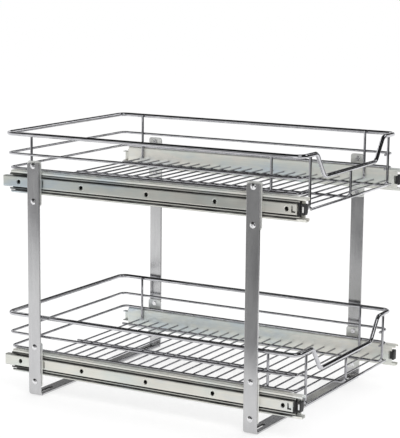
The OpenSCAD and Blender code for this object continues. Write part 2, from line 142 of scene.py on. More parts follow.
@dataclass(frozen=True)
class Route:
    """A path of straights joined by round bends of one radius."""

    corners: tuple[Triple, ...]
    bend: float
    bend_steps: int = 9

    def sample(self) -> tuple[Array, Array, Array, Array]:
        """Walks the path.

        Each bend is centre - bend (inward cos a - forward sin a), with a from 0
        to the corner's turn, and the two side vectors turn with it, so that the
        section never twists.

        Returns:
            Places, first and second side vectors and directions, each n by 3.
        """
        p = np.array(self.corners, float)
        ahead = unit(p[1] - p[0])
        upright = abs(ahead[2]) > 0.9
        n = unit(np.cross(BACK if upright else UP, ahead))
        b = np.cross(ahead, n)
        places, normals, sides, aheads = [p[:1]], [n[None]], [b[None]], [ahead[None]]
        for i in range(1, len(p) - 1):
            u, v = unit(p[i] - p[i - 1]), unit(p[i + 1] - p[i])
            axis = np.cross(u, v)
            angle = math.atan2(float(np.linalg.norm(axis)), float(u @ v))
            axis = unit(axis)
            inward = np.cross(axis, u)
            start = p[i] - self.bend * math.tan(angle / 2) * u
            a = np.linspace(0, angle, self.bend_steps)
            swing = np.outer(np.cos(a), inward) - np.outer(np.sin(a), u)
            places.append(start + self.bend * inward - self.bend * swing)
            normals.append(turned(n, axis, a))
            sides.append(turned(b, axis, a))
            aheads.append(turned(u, axis, a))
            n, b = normals[-1][-1], sides[-1][-1]
        places.append(p[-1:])
        normals.append(n[None])
        sides.append(b[None])
        aheads.append(unit(p[-1] - p[-2])[None])
        return tuple(np.concatenate(x) for x in (places, normals, sides, aheads))


def rounded_outline(half_w: float, half_h: float, r: float, per_corner: int = 6) -> Array:
    """A closed rectangle with round corners.

    Formula: each corner is its centre plus r (cos a, sin a) over a quarter turn.

    Args:
        half_w: Half the width.
        half_h: Half the height.
        r: Corner radius.
        per_corner: Steps of each quarter turn.

    Returns:
        4 (per_corner + 1) + 1 points by 2; the last repeats the first.
    """
    a = np.linspace(0, math.pi / 2, per_corner + 1)
    turns = a[None] + np.arange(4)[:, None] * math.pi / 2
    signs = np.array([[1, 1], [-1, 1], [-1, -1], [1, -1]])
    centres = signs * np.array([half_w - r, half_h - r])
    ring = centres[:, None] + r * np.stack([np.cos(turns), np.sin(turns)], -1)
    ring = ring.reshape(-1, 2)
    return np.vstack([ring, ring[:1]])


def bent_line(corners: Sequence[Pair], bend: float, steps: int = 5) -> tuple[Array, Array]:
    """A flat path with round bends, and its left-hand normals.

    Formula: a route at height zero, and each direction turned by a right angle.

    Args:
        corners: Corner points.
        bend: Radius of the bends on this line.
        steps: Steps of each bend.

    Returns:
        Points and unit normals, each n by 2.
    """
    route = Route(tuple((x, y, 0.0) for x, y in corners), bend, steps)
    places, _, _, aheads = route.sample()
    return places[:, :2], np.stack([-aheads[:, 1], aheads[:, 0]], -1)


def stepped(line: Array, step: float) -> Array:
    """A line of points with more put in, so that none lie further apart than a step.

    Formula: straight-line interpolation at the union of the points' own
    distances along the line and the multiples of the step.

    Args:
        line: Points, n by 2.
        step: Largest distance wanted.

    Returns:
        Points by 2, the given ones among them.
    """
    lengths = np.linalg.norm(np.diff(line, axis=0), axis=1)
    run = np.concatenate([[0.0], np.cumsum(lengths)])
    extra = np.arange(step, run[-1], step)
    extra = extra[np.abs(extra[:, None] - run[None]).min(1) > step / 4]
    at = np.sort(np.concatenate([run, extra]))
    return np.stack([np.interp(at, run, line[:, 0]), np.interp(at, run, line[:, 1])], -1)


def cell_rim(xs: Array, ys: Array) -> Array:
    """The rim of a rectangular cell, walked once round through the given places.

    Args:
        xs: Places along the first axis.
        ys: Places along the second axis.

    Returns:
        Points by 2; the last repeats the first.
    """
    return np.concatenate([
        np.stack([xs, np.full_like(xs, ys[0])], -1)[:-1],
        np.stack([np.full_like(ys, xs[-1]), ys], -1)[:-1],
        np.stack([xs[::-1], np.full_like(xs, ys[-1])], -1)[:-1],
        np.stack([np.full_like(ys, xs[0]), ys[::-1]], -1)])


def half_turn() -> Array:
    """The angles between the two ends of a half circle, as a column."""
    return np.linspace(0, math.pi, 7)[1:-1, None]


def sheet_outline(corners: Sequence[Pair], bend: float, t: float, step: float = 0.8) -> Array:
    """The closed outline of a bent sheet, from the line through its middle.

    Formula: the middle line plus and minus t/2 along its normal, joined at each
    end by a half circle of radius t/2.

    Args:
        corners: Corners of the middle line.
        bend: Radius of the middle line's bends.
        t: Sheet thickness.
        step: Largest distance between two points.

    Returns:
        Points by 2; the last repeats the first.
    """
    line, normal = bent_line(corners, bend)
    a = half_turn()

    def tip(at: Array, across: Array, out: Array) -> Array:
        """Half circle from across to -across, round the end."""
        return at + t / 2 * (np.cos(a) * across + np.sin(a) * out)

    last = np.array([normal[-1, 1], -normal[-1, 0]])
    first = -np.array([normal[0, 1], -normal[0, 0]])
    loop = np.concatenate([
        line + normal * t / 2, tip(line[-1], normal[-1], last),
        (line - normal * t / 2)[::-1], tip(line[0], -normal[0], first)])
    return stepped(np.vstack([loop, loop[:1]]), step)


class Skin:
    """A mesh that grows from grids and flat caps, and is closed at the end."""

    def __init__(self) -> None:
        """Starts with no points and no faces."""
        self._points: list[Array] = []
        self._uvs: list[Array] = []
        # Painted shade per point: dark colour that stands in for the shade in grooves, slots and
        # holes.
        self._soil: list[Array] = []
        self._quads: list[Array] = []
        self._caps: list[list[int]] = []
        self._count = 0

    def _add(self, points: Array, uv: Array, soil: Array | float = 0.0) -> Array:
        """Keeps points with what belongs to them.

        Args:
            points: k by 3.
            uv: k by 2, in metres.
            soil: How much painted shade each point carries, 0 to 1.

        Returns:
            The k indices of the points.
        """
        index = self._count + np.arange(len(points))
        self._points.append(points)
        self._uvs.append(uv)
        self._soil.append(np.broadcast_to(soil, len(points)))
        self._count += len(points)
        return index

    def grid(self, points: Array, keep: Array | None = None,
             soil: Array | float = 0.0) -> "Skin":
        """Adds a sheet of quads over an n by m grid of points.

        The uv is the distance run along the columns and the rows, in metres.

        Args:
            points: n by m by 3, with repeated first points where it closes.
            keep: Which of the (n-1) by (m-1) quads are wanted; all if None.
            soil: How much painted shade each point carries, 0 to 1, to be spread over n by m.

        Returns:
            This skin.
        """
        rows, cols = points.shape[:2]
        across = np.linalg.norm(np.diff(points, axis=1), axis=2).mean(0)
        along = np.linalg.norm(np.diff(points, axis=0), axis=2).mean(1)
        u = np.concatenate([[0.0], np.cumsum(across)]) * MM
        v = np.concatenate([[0.0], np.cumsum(along)]) * MM
        uv = np.stack(np.meshgrid(u, v), -1).reshape(-1, 2)
        shade_marks = np.broadcast_to(soil, (rows, cols)).reshape(-1)
        index = self._add(points.reshape(-1, 3), uv, shade_marks).reshape(rows, cols)
        quads = np.stack([index[:-1, :-1], index[:-1, 1:],
                          index[1:, 1:], index[1:, :-1]], -1)
        self._quads.append(quads.reshape(-1, 4) if keep is None else quads[keep])
        return self

    def cap(self, loop: Array) -> "Skin":
        """Closes a flat loop of points with one face.

        The uv is the distance from the middle along the direction of the
        furthest point, and square to it in the loop's plane.

        Args:
            loop: k by 3; the last point repeats the first.

        Returns:
            This skin.
        """
        flat = loop[:-1]
        size = flat - flat.mean(0)
        across = unit(size[np.argmax((size**2).sum(1))])
        areas = np.cross(across, size)
        normal = unit(areas[np.argmax(np.linalg.norm(areas, axis=1))])
        uv = np.stack([size @ across, size @ np.cross(normal, across)], -1) * MM
        self._caps.append(self._add(flat, uv).tolist())
        return self

    def stack(self, loops: Array, soil: Array | float = 0.0) -> "Skin":
        """Adds a closed body from a stack of equal closed loops (n by m by 3)."""
        return self.grid(loops, soil=soil).cap(loops[0]).cap(loops[-1])

    def piece(self, name: str, finish: "Finish", body: str, slot: str,
              replaces: Sequence[str] = (), even: bool = False) -> bpy.types.Object:
        """Makes the Blender object and puts it on its body.

        Doubles are merged, the normals are worked out again, and edges sharper
        than SHARP_DEG are kept sharp.

        Args:
            name: Name of the piece.
            finish: Its finish.
            body: CAD body that it rides on.
            slot: Material slot of the record; not used.
            replaces: CAD nodes that it stands for.
            even: Whether large flat faces decide the shading at their edges.

        Returns:
            The object.
        """
        faces = np.concatenate(self._quads).tolist() + self._caps
        mesh = bpy.data.meshes.new(name)
        mesh.from_pydata((np.concatenate(self._points) * MM).tolist(), [], faces)
        layer = mesh.uv_layers.new(name="run")
        corner = np.zeros(len(mesh.loops), np.int32)
        mesh.loops.foreach_get("vertex_index", corner)
        uv = np.concatenate(self._uvs)[corner].astype(np.float32)
        layer.data.foreach_set("uv", uv.ravel())
        # The soil attribute carries the painted shade to the material.
        soil = np.concatenate(self._soil).astype(np.float32)
        mesh.attributes.new("soil", "FLOAT", "POINT").data.foreach_set("value", soil)
        work = bmesh.new()
        work.from_mesh(mesh)
        bmesh.ops.remove_doubles(work, verts=work.verts, dist=MERGE_M)
        bmesh.ops.dissolve_degenerate(work, edges=work.edges, dist=NO_LENGTH_M)
        bmesh.ops.recalc_face_normals(work, faces=work.faces)
        work.to_mesh(mesh)
        work.free()
        mesh.shade_smooth()
        mesh.set_sharp_from_angle(angle=math.radians(SHARP_DEG))
        obj = bpy.data.objects.new(name, mesh)
        bpy.context.scene.collection.objects.link(obj)
        obj.data.materials.append(finish.material())
        if even:
            obj.modifiers.new("even", "WEIGHTED_NORMAL").keep_sharp = True
        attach(obj, body)
        if replaces:
            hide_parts(*replaces)
        log.info("%s: %d faces on %s", name, len(mesh.polygons), body)
        return obj


def circle(sides: int) -> Array:
    """Points (cos a, sin a) round a full turn, the last on the first."""
    a = np.linspace(0, 2 * math.pi, sides + 1)
    return np.stack([np.cos(a), np.sin(a)], -1)


def add_wire(skin: Skin, route: Route, d: float, sides: int, end: EndShape) -> None:
    """Adds a round wire: a circle of radius d/2 carried along a route.

    At a cut end the last rings shrink by c (1 - cos a) while they move on by
    c sin a, which rounds the edge with radius c, 0.3 of the wire's radius.

    Args:
        skin: Skin to add to.
        route: Path of the wire's middle.
        d: Diameter.
        sides: Points round the wire.
        end: How the wire ends.
    """
    places, n, b, ahead = route.sample()
    r = np.full(len(places), d / 2)
    if end is EndShape.CUT:
        rings = 4
        c = 0.3 * d / 2
        a = np.linspace(math.pi / 2, 0, rings)
        first = places[0] + np.outer(c * (1 - np.sin(a)), ahead[0])
        last = places[-1] - np.outer(c * (1 - np.sin(a))[::-1], ahead[-1])
        rim = d / 2 - c * (1 - np.cos(a))
        places = np.concatenate([first, places[1:-1], last])
        n, b = (np.concatenate([np.repeat(x[:1], rings, 0), x[1:-1],
                                np.repeat(x[-1:], rings, 0)]) for x in (n, b))
        r = np.concatenate([rim, r[1:-1], rim[::-1]])
    ring = circle(sides)
    out = n[:, None] * ring[None, :, :1] + b[:, None] * ring[None, :, 1:]
    tube = places[:, None] + r[:, None, None] * out
    skin.grid(tube)
    if end is EndShape.CUT:
        skin.cap(tube[0]).cap(tube[-1])


def add_beads(skin: Skin, places: Array, size: Triple, turns: int = 8) -> None:
    """Adds a ball or weld bead, a small ellipsoid, at each place.

    Formula: (a sin t cos p, b sin t sin p, c cos t), with t from pole to pole
    and p round the axis.

    Args:
        skin: Skin to add to.
        places: k by 3 middles.
        size: Half axes along X, Y and Z.
        turns: Faces round a bead.
    """
    pole_rings = 6
    t = np.linspace(0, math.pi, pole_rings)[:, None]
    p = np.linspace(0, 2 * math.pi, turns + 1)[None]
    ball = np.stack([np.sin(t) * np.cos(p), np.sin(t) * np.sin(p),
                     np.cos(t) * np.ones_like(p)], -1)
    for place in places:
        skin.grid(place + ball * np.array(size))


def add_turned(skin: Skin, profile: Array, place: Array, axis: Array, sides: int) -> None:
    """Adds a turned shape: a profile of (distance along, radius) swept round an axis.

    Formula: place + distance times axis + radius (cos a, sin a) square to it.

    Args:
        skin: Skin to add to.
        profile: k by 2 points.
        place: Where the profile's zero is.
        axis: Unit vector along which it runs.
        sides: Steps round.
    """
    n = unit(np.cross(axis, UP))
    b = np.cross(axis, n)
    ring = circle(sides)
    out = n[None] * ring[:, :1] + b[None] * ring[:, 1:]
    skin.grid(place + profile[:, None, :1] * axis + profile[:, None, 1:] * out[None])


# --------------------------------------------------------------- materials

Socket = bpy.types.NodeSocket


class Nodes:
    """Short words for building a material's nodes."""

    def __init__(self, name: str) -> None:
        """Makes a material with its plain shader.

        Args:
            name: Name of the material.
        """
        self.made = bpy.data.materials.new(name)
        self.made.use_nodes = True
        self.tree = self.made.node_tree
        self.shader = self.tree.nodes["Principled BSDF"]

    def add(self, kind: str, **values: object) -> bpy.types.Node:
        """A node of a kind, with attributes and input values set by name.

        Args:
            kind: Blender's node type.
            **values: Attributes, or inputs with _ for a space.

        Returns:
            The node.
        """
        node = self.tree.nodes.new(kind)
        for key, value in values.items():
            if hasattr(node, key):
                setattr(node, key, value)
            else:
                node.inputs[key.replace("_", " ")].default_value = value
        return node

    def join(self, source: Socket, target: Socket) -> None:
        """Links two sockets."""
        self.tree.links.new(source, target)

    def coords(self, scale: Triple, along: bool = False) -> Socket:
        """Coordinates times a scale.

        Args:
            scale: Factor for each of the three axes.
            along: Whether they follow the piece's own run; the object's if not.

        Returns:
            The coordinates.
        """
        base = self.add("ShaderNodeTexCoord")
        turn = self.add("ShaderNodeMapping")
        turn.inputs["Scale"].default_value = scale
        self.join(base.outputs["UV" if along else "Object"], turn.inputs["Vector"])
        return turn.outputs["Vector"]

    def noise(self, where: Socket, detail: float = 3.0, rough: float = 0.55) -> Socket:
        """Noise at unit scale.

        Args:
            where: Coordinates.
            detail: Number of finer layers.
            rough: How much each finer layer counts.

        Returns:
            A value from 0 to 1.
        """
        node = self.add("ShaderNodeTexNoise", Scale=1.0, Detail=detail, Roughness=rough)
        self.join(where, node.inputs["Vector"])
        return node.outputs["Fac"]

    def ramp(self, value: Socket, stops: Sequence[tuple[float, Triple]]) -> Socket:
        """Colours over a value.

        Args:
            value: From 0 to 1.
            stops: Values and the colour at each, in rising order.

        Returns:
            The colour.
        """
        node = self.add("ShaderNodeValToRGB")
        bar = node.color_ramp.elements
        while len(bar) < len(stops):
            bar.new(0.5)
        for mark, (at, rgb) in zip(bar, stops):
            mark.position, mark.color = at, (*rgb, 1.0)
        self.join(value, node.inputs["Fac"])
        return node.outputs["Color"]

    def span(self, value: Socket, low: float, high: float) -> Socket:
        """The middle part of a noise, 0.3 to 0.7, stretched between two numbers.

        Args:
            value: The noise.
            low: What 0.3 becomes.
            high: What 0.7 becomes.

        Returns:
            The stretched value.
        """
        node = self.add("ShaderNodeMapRange")
        ends = {"From Min": 0.3, "From Max": 0.7, "To Min": low, "To Max": high}
        for key, number in ends.items():
            node.inputs[key].default_value = number
        self.join(value, node.inputs["Value"])
        return node.outputs["Result"]

    def mix(self, share: Socket, one: Socket, two: Triple) -> Socket:
        """A colour mixed with a fixed one.

        Args:
            share: How much of the fixed colour.
            one: The colour at share 0.
            two: The fixed colour, at share 1.

        Returns:
            The mixed colour.
        """
        node = self.add("ShaderNodeMix", data_type="RGBA")
        self.join(share, node.inputs[0])
        self.join(one, node.inputs[6])
        node.inputs[7].default_value = (*two, 1.0)
        return node.outputs[2]

    def soiled(self, clean: Socket, rough: Socket, film: float) -> None:
        """Sets colour, roughness and metal, with painted shade where the mesh keeps "soil".

        The painted shade stands in for the shade in grooves, slots and holes; it is patchy by
        noise, dark, dull and no metal.

        Args:
            clean: Colour of the clean metal.
            rough: Its roughness.
            film: Share of the surface that looks like a dull film and not like metal.
        """
        # The near-black colour is painted shade, laid where the mesh is marked.
        shade_tone, least, patches = (0.012, 0.012, 0.011), 0.85, (150, 40, 150)
        mark = self.add("ShaderNodeAttribute", attribute_name="soil")
        patchy = self.add("ShaderNodeMath", operation="MULTIPLY")
        self.join(mark.outputs["Fac"], patchy.inputs[0])
        self.join(self.span(self.noise(self.coords(patches), 2.0), least, 1.0), patchy.inputs[1])
        self.join(self.mix(patchy.outputs[0], clean, shade_tone), self.shader.inputs["Base Color"])
        dull = self.add("ShaderNodeMath", operation="MAXIMUM")
        self.join(patchy.outputs[0], dull.inputs[0])
        self.join(rough, dull.inputs[1])
        self.join(dull.outputs[0], self.shader.inputs["Roughness"])
        metal = self.add("ShaderNodeMath", operation="SUBTRACT", use_clamp=True)
        metal.inputs[0].default_value = 1.0 - film
        self.join(patchy.outputs[0], metal.inputs[1])
        self.join(metal.outputs[0], self.shader.inputs["Metallic"])

    def bump(self, height: Socket, depth: float, strength: float,
             below: Socket | None = None) -> Socket:
        """A bump, over another if given.

        Args:
            height: Height from 0 to 1.
            depth: Depth in metres.
            strength: How much of it is seen.
            below: The bump that it lies on.

        Returns:
            The bent normal.
        """
        node = self.add("ShaderNodeBump", Strength=strength, Distance=depth)
        self.join(height, node.inputs["Height"])
        if below is not None:
            self.join(below, node.inputs["Normal"])
        return node.outputs["Normal"]


@dataclass(frozen=True)
class Finish:
    """A surface finish; each kind dresses its own material once.

    No finish has the name of a material slot, because the plain materials of
    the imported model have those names.
    """

    name: str = "finish"

    def material(self) -> bpy.types.Material:
        """The material of this finish, made at its first use.

        Returns:
            The material.
        """
        made = bpy.data.materials.get(self.name)
        if made is None:
            nodes = Nodes(self.name)
            self.dress(nodes)
            made = nodes.made
        return made

    def dress(self, nodes: Nodes) -> None:
        """Fills the material's nodes; each kind of finish has its own way."""
        raise NotImplementedError


@dataclass(frozen=True)
class PlatedWire(Finish):
    """Bright plating on drawn wire: fine draw lines, and thin haze in places."""

    name: str = "plated_wire"
    bright: Triple = (0.62, 0.62, 0.645)
    hazed: Triple = (0.52, 0.52, 0.545)
    rough: Pair = (0.11, 0.05)
    haze_scale: Triple = (60, 60, 60)
    draw_line_scale: Triple = (2600, 40, 1)
    draw_line_depth: float = 0.00002
    wave_scale: Triple = (120, 120, 120)
    wave_depth: float = 0.0004

    def dress(self, nodes: Nodes) -> None:
        """Mixes bright and hazed plating by slow noise, with draw lines as bump.

        Args:
            nodes: Nodes of the material.
        """
        n = nodes
        haze = n.noise(n.coords(self.haze_scale), 4.0)
        tones = [(0.38, self.hazed), (0.6, self.bright)]
        n.join(n.ramp(haze, tones), n.shader.inputs["Base Color"])
        n.shader.inputs["Metallic"].default_value = 1.0
        n.join(n.span(haze, *self.rough), n.shader.inputs["Roughness"])
        lines = n.noise(n.coords(self.draw_line_scale, along=True), 2.0)
        waves = n.bump(n.noise(n.coords(self.wave_scale), 2.0), self.wave_depth, 0.12)
        n.join(n.bump(lines, self.draw_line_depth, 0.35, waves), n.shader.inputs["Normal"])


@dataclass(frozen=True)
class SatinStrap(Finish):
    """Satin nickel on rolled strap: long rolling lines and soft cloudy patches."""

    name: str = "satin_strap"
    light: Triple = (0.64, 0.64, 0.645)
    dark: Triple = (0.52, 0.52, 0.53)
    line_tone: Triple = (0.42, 0.42, 0.43)
    line_share: float = 0.35
    rough: Pair = (0.17, 0.26)
    cloud_scale: Triple = (26, 26, 9)
    line_scale: Triple = (1800, 9, 1)
    speck_scale: Triple = (900, 900, 900)
    grain_depth: float = 0.00003

    def dress(self, nodes: Nodes) -> None:
        """Clouds of two greys, crossed by lines that run with the strap.

        Args:
            nodes: Nodes of the material.
        """
        n = nodes
        clouds = n.noise(n.coords(self.cloud_scale), 5.0, 0.6)
        lines = n.noise(n.coords(self.line_scale, along=True), 3.0)
        tone = n.ramp(clouds, [(0.34, self.dark), (0.62, self.light)])
        lined = n.mix(n.span(lines, 0.0, self.line_share), tone, self.line_tone)
        n.soiled(lined, n.span(clouds, *self.rough), 0.0)
        specks = n.bump(n.noise(n.coords(self.speck_scale), 2.0), self.grain_depth, 0.3)
        n.join(n.bump(lines, self.grain_depth, 0.4, specks), n.shader.inputs["Normal"])


@dataclass(frozen=True)
class PassivatedZinc(Finish):
    """Clear-to-yellow passivated zinc: patches of pale blue, green and straw."""

    name: str = "passivated_zinc"
    tints: tuple[Triple, ...] = (
        (0.64, 0.72, 0.77), (0.76, 0.79, 0.74), (0.84, 0.82, 0.75), (0.74, 0.78, 0.78))
    first_stop: float = 0.30
    stop_step: float = 0.14
    line_tone: Triple = (0.52, 0.54, 0.54)
    line_share: float = 0.22
    rough: Pair = (0.34, 0.46)
    film: float = 0.0
    patch_scale: Triple = (9, 7, 22)
    dull_scale: Triple = (70, 30, 70)
    line_scale: Triple = (900, 6, 1)
    line_depth: float = 0.00004
    grain_scale: Triple = (700, 700, 700)
    grain_depth: float = 0.00003

    def dress(self, nodes: Nodes) -> None:
        """Long soft patches of tint along the sheet, rolling lines and fine grain.

        Args:
            nodes: Nodes of the material.
        """
        n = nodes
        patch = n.noise(n.coords(self.patch_scale), 4.0, 0.6)
        stops = [(self.first_stop + self.stop_step * i, tint) for i, tint in enumerate(self.tints)]
        lines = n.noise(n.coords(self.line_scale, along=True), 2.0)
        n.soiled(n.mix(n.span(lines, 0.0, self.line_share), n.ramp(patch, stops), self.line_tone),
                 n.span(n.noise(n.coords(self.dull_scale), 4.0), *self.rough), self.film)
        grain = n.bump(n.noise(n.coords(self.grain_scale), 2.0), self.grain_depth, 0.25)
        n.join(n.bump(lines, self.line_depth, 0.3, grain), n.shader.inputs["Normal"])


@dataclass(frozen=True)
class BrightSteel(Finish):
    """Plain bright steel for rivets, balls and cages."""

    name: str = "bright_steel"
    tone: Triple = (0.72, 0.72, 0.73)
    worn: Triple = (0.55, 0.55, 0.57)
    rough: Pair = (0.14, 0.28)
    spot_scale: Triple = (300, 300, 300)
    dent_scale: Triple = (800, 800, 800)
    dent_depth: float = 0.00005

    def dress(self, nodes: Nodes) -> None:
        """Two tones and two roughnesses over small noise, with tiny dents.

        Args:
            nodes: Nodes of the material.
        """
        n = nodes
        spots = n.noise(n.coords(self.spot_scale), 4.0)
        tones = [(0.38, self.worn), (0.6, self.tone)]
        n.join(n.ramp(spots, tones), n.shader.inputs["Base Color"])
        n.shader.inputs["Metallic"].default_value = 1.0
        n.join(n.span(spots, *self.rough), n.shader.inputs["Roughness"])
        dents = n.noise(n.coords(self.dent_scale), 2.0)
        n.join(n.bump(dents, self.dent_depth, 0.25), n.shader.inputs["Normal"])


@dataclass(frozen=True)
class BlackRubber(Finish):
    """Moulded black rubber with a fine grain and a dusty bloom."""

    name: str = "black_rubber"
    black: Triple = (0.012, 0.012, 0.013)
    dusty: Triple = (0.035, 0.035, 0.036)
    rough: Pair = (0.45, 0.62)
    bloom_scale: Triple = (220, 220, 220)
    grain_scale: Triple = (1500, 1500, 1500)
    grain_depth: float = 0.0001

    def dress(self, nodes: Nodes) -> None:
        """Near black with a little bloom, and a pebbled bump.

        Args:
            nodes: Nodes of the material.
        """
        n = nodes
        bloom = n.noise(n.coords(self.bloom_scale), 5.0)
        tones = [(0.4, self.black), (0.7, self.dusty)]
        n.join(n.ramp(bloom, tones), n.shader.inputs["Base Color"])
        n.join(n.span(bloom, *self.rough), n.shader.inputs["Roughness"])
        grain = n.noise(n.coords(self.grain_scale), 2.0)
        n.join(n.bump(grain, self.grain_depth, 0.4), n.shader.inputs["Normal"])


WIRE = PlatedWire()
# The grid wires and stays carry the rails' plating in darker colours; the darkness is painted shade
# for the dark room they mirror.
GRID_PAINTED_DARK = PlatedWire(name="plated_grid", bright=(0.34, 0.34, 0.36), hazed=(0.24, 0.24, 0.26))
STAY_PAINTED_DARK = PlatedWire(name="plated_stay", bright=(0.44, 0.44, 0.46), hazed=(0.34, 0.34, 0.36))
STRAP = SatinStrap()
ZINC = PassivatedZinc()
CHANNEL = PassivatedZinc(name="zinc_channel", film=0.55)
# The brackets' zinc is the passivated zinc with paler tints; the paler tints are painted light.
PLATE_PAINTED_LIGHT = PassivatedZinc(name="zinc_bracket", film=0.15, tints=(
    (0.83, 0.86, 0.87), (0.90, 0.91, 0.88), (0.93, 0.93, 0.90), (0.87, 0.89, 0.89)))
RIVET = BrightSteel(name="bright_rivet", tone=(0.86, 0.86, 0.87), worn=(0.70, 0.70, 0.72),
                    rough=(0.12, 0.24))
CAGE = BrightSteel(name="cage_zinc", tone=(0.72, 0.70, 0.58), worn=(0.55, 0.54, 0.46))
RUBBER = BlackRubber()


# ------------------------------------------------------------------ frames


@dataclass(frozen=True)
class StrapFrame:
    """One frame: a strap bent into a wide U, with two screw slots in its floor run."""

    place: Place
    width: float = 366.0
    height: float = 368.0
    bar_w: float = 22.0
    bar_t: float = 3.0
    bend: float = 4.5
    corner_r: float = 4.0
    edge_r: float = 0.6
    slot_len: float = 34.0
    slot_w: float = 6.4
    slot_x: float = 153.0
    slot_margin: float = 8.0
    slot_steps: int = 25
    lines_across: int = 9
    wall_edge: float = 0.2

    def section(self) -> Array:
        """The strap's section with worn edges, in (across, thickness)."""
        return rounded_outline(self.bar_w / 2, self.bar_t / 2, self.edge_r, 3)

    def upright(self, skin: Skin, side: Side) -> None:
        """Adds one upright with its bend.

        The section is carried down the upright and round the bend. Over the
        top corner radius r its half width is w - r + r sin a at the depth
        r (1 - cos a).

        Args:
            skin: Skin to add to.
            side: Which upright.
        """
        x = self.width / 2 - self.bar_t / 2
        a = np.linspace(0, math.pi / 2, 7)[1:]
        turn = np.linspace(0, math.pi / 2, 9)
        drop = self.height - self.corner_r * (1 - np.cos(a))
        half = self.bar_w / 2 - self.corner_r * (1 - np.sin(a))
        centre_x, centre_z = x - self.bend, self.bar_t / 2 + self.bend
        mid_x = np.concatenate([np.full(len(a), x), centre_x + self.bend * np.cos(turn)])
        mid_z = np.concatenate([drop, centre_z - self.bend * np.sin(turn)])
        out = np.concatenate([np.tile([1.0, 0.0], (len(a), 1)),
                              np.stack([np.cos(turn), -np.sin(turn)], -1)])
        wide = np.concatenate([half, np.full(len(turn), self.bar_w / 2)]) / (self.bar_w / 2)
        s = self.section()
        px = mid_x[:, None] + out[:, :1] * s[None, :, 1]
        pz = mid_z[:, None] + out[:, 1:] * s[None, :, 1]
        py = self.place.value + wide[:, None] * s[None, :, 0]
        rows = np.stack([side.value * px, py, pz], -1)
        skin.grid(rows).cap(rows[0])

    def plain_cell(self, skin: Skin, xs: Array, ys: Array) -> None:
        """Adds the two flat faces of the floor run between two places.

        Args:
            skin: Skin to add to.
            xs: The two places along X.
            ys: Lines across the strap.
        """
        gx, gy = np.meshgrid(xs, ys, indexing="ij")
        for z in (0.0, self.bar_t):
            skin.grid(np.stack([gx, gy + self.place.value, np.full_like(gx, z)], -1))

    def slot_cell(self, skin: Skin, xs: Array, ys: Array) -> None:
        """Adds the floor run round one slot, with the slot's punched walls.

        Each face is the blend from the slot's outline to the cell's rim. The
        outline's point is the one on the slot nearest to the rim's: the rim's
        point held to the slot's middle line, and half a slot's width out from
        there. The walls carry painted shade, dark and rough, for the shade
        inside the slot.

        Args:
            skin: Skin to add to.
            xs: Places along X, from one end of the cell to the other.
            ys: Lines across the strap.
        """
        t = self.bar_t
        rim = cell_rim(xs, ys)
        mid = (xs[0] + xs[-1]) / 2
        run = (self.slot_len - self.slot_w) / 2
        near = np.stack([np.clip(rim[:, 0] - mid, -run, run) + mid, np.zeros(len(rim))], -1)
        away = rim - near
        hole = near + self.slot_w / 2 * away / np.linalg.norm(away, axis=1, keepdims=True)
        shares = np.array([0.0, 0.02, 0.25, 1.0])[:, None, None]
        face = hole + shares * (rim - hole)
        face[..., 1] += self.place.value
        rise = np.ones(face.shape[:2])[..., None]
        skin.grid(np.concatenate([face, 0 * rise], -1))
        skin.grid(np.concatenate([face, t * rise], -1))
        heights = (0.0, self.wall_edge, t - self.wall_edge, t)
        wall = np.stack([np.concatenate([face[0], z * rise[0]], -1) for z in heights])
        # The slot's walls are fully marked for painted shade.
        skin.grid(wall, soil=1.0)

    def floor_run(self, skin: Skin) -> None:
        """Adds the floor run: plain and slotted cells in turn, and two worn edges.

        The worn edges are the round parts of the strap's section carried along
        all the cells' places.

        Args:
            skin: Skin to add to.
        """
        end = self.width / 2 - self.bar_t / 2 - self.bend
        near = self.slot_x - self.slot_len / 2 - self.slot_margin
        far = self.slot_x + self.slot_len / 2 + self.slot_margin
        stops = np.array([-end, -far, -near, near, far, end])
        half = self.bar_w / 2 - self.edge_r
        ys = np.linspace(-half, half, self.lines_across)
        cells = [np.linspace(one, two, self.slot_steps if k % 2 else 2)
                 for k, (one, two) in enumerate(zip(stops, stops[1:]))]
        for k, xs in enumerate(cells):
            (self.slot_cell if k % 2 else self.plain_cell)(skin, xs, ys)
        lines = np.unique(np.concatenate(cells))
        s = self.section()
        steps = (len(s) - 1) // 4
        for edge in (np.concatenate([s[3 * steps:], s[1:steps]]), s[steps: 3 * steps]):
            x, across = np.meshgrid(lines, edge[:, 0], indexing="ij")
            z = np.broadcast_to(self.bar_t / 2 + edge[:, 1], x.shape)
            skin.grid(np.stack([x, self.place.value + across, z], -1))

    def build(self) -> None:
        """Makes the frame's strap as one piece."""
        skin = Skin()
        for side in Side:
            self.upright(skin, side)
        self.floor_run(skin)
        word = self.place.name.lower()
        skin.piece(f"{word}_strap", STRAP, "frame", "strap_steel", [f"{word}_frame"], even=True)


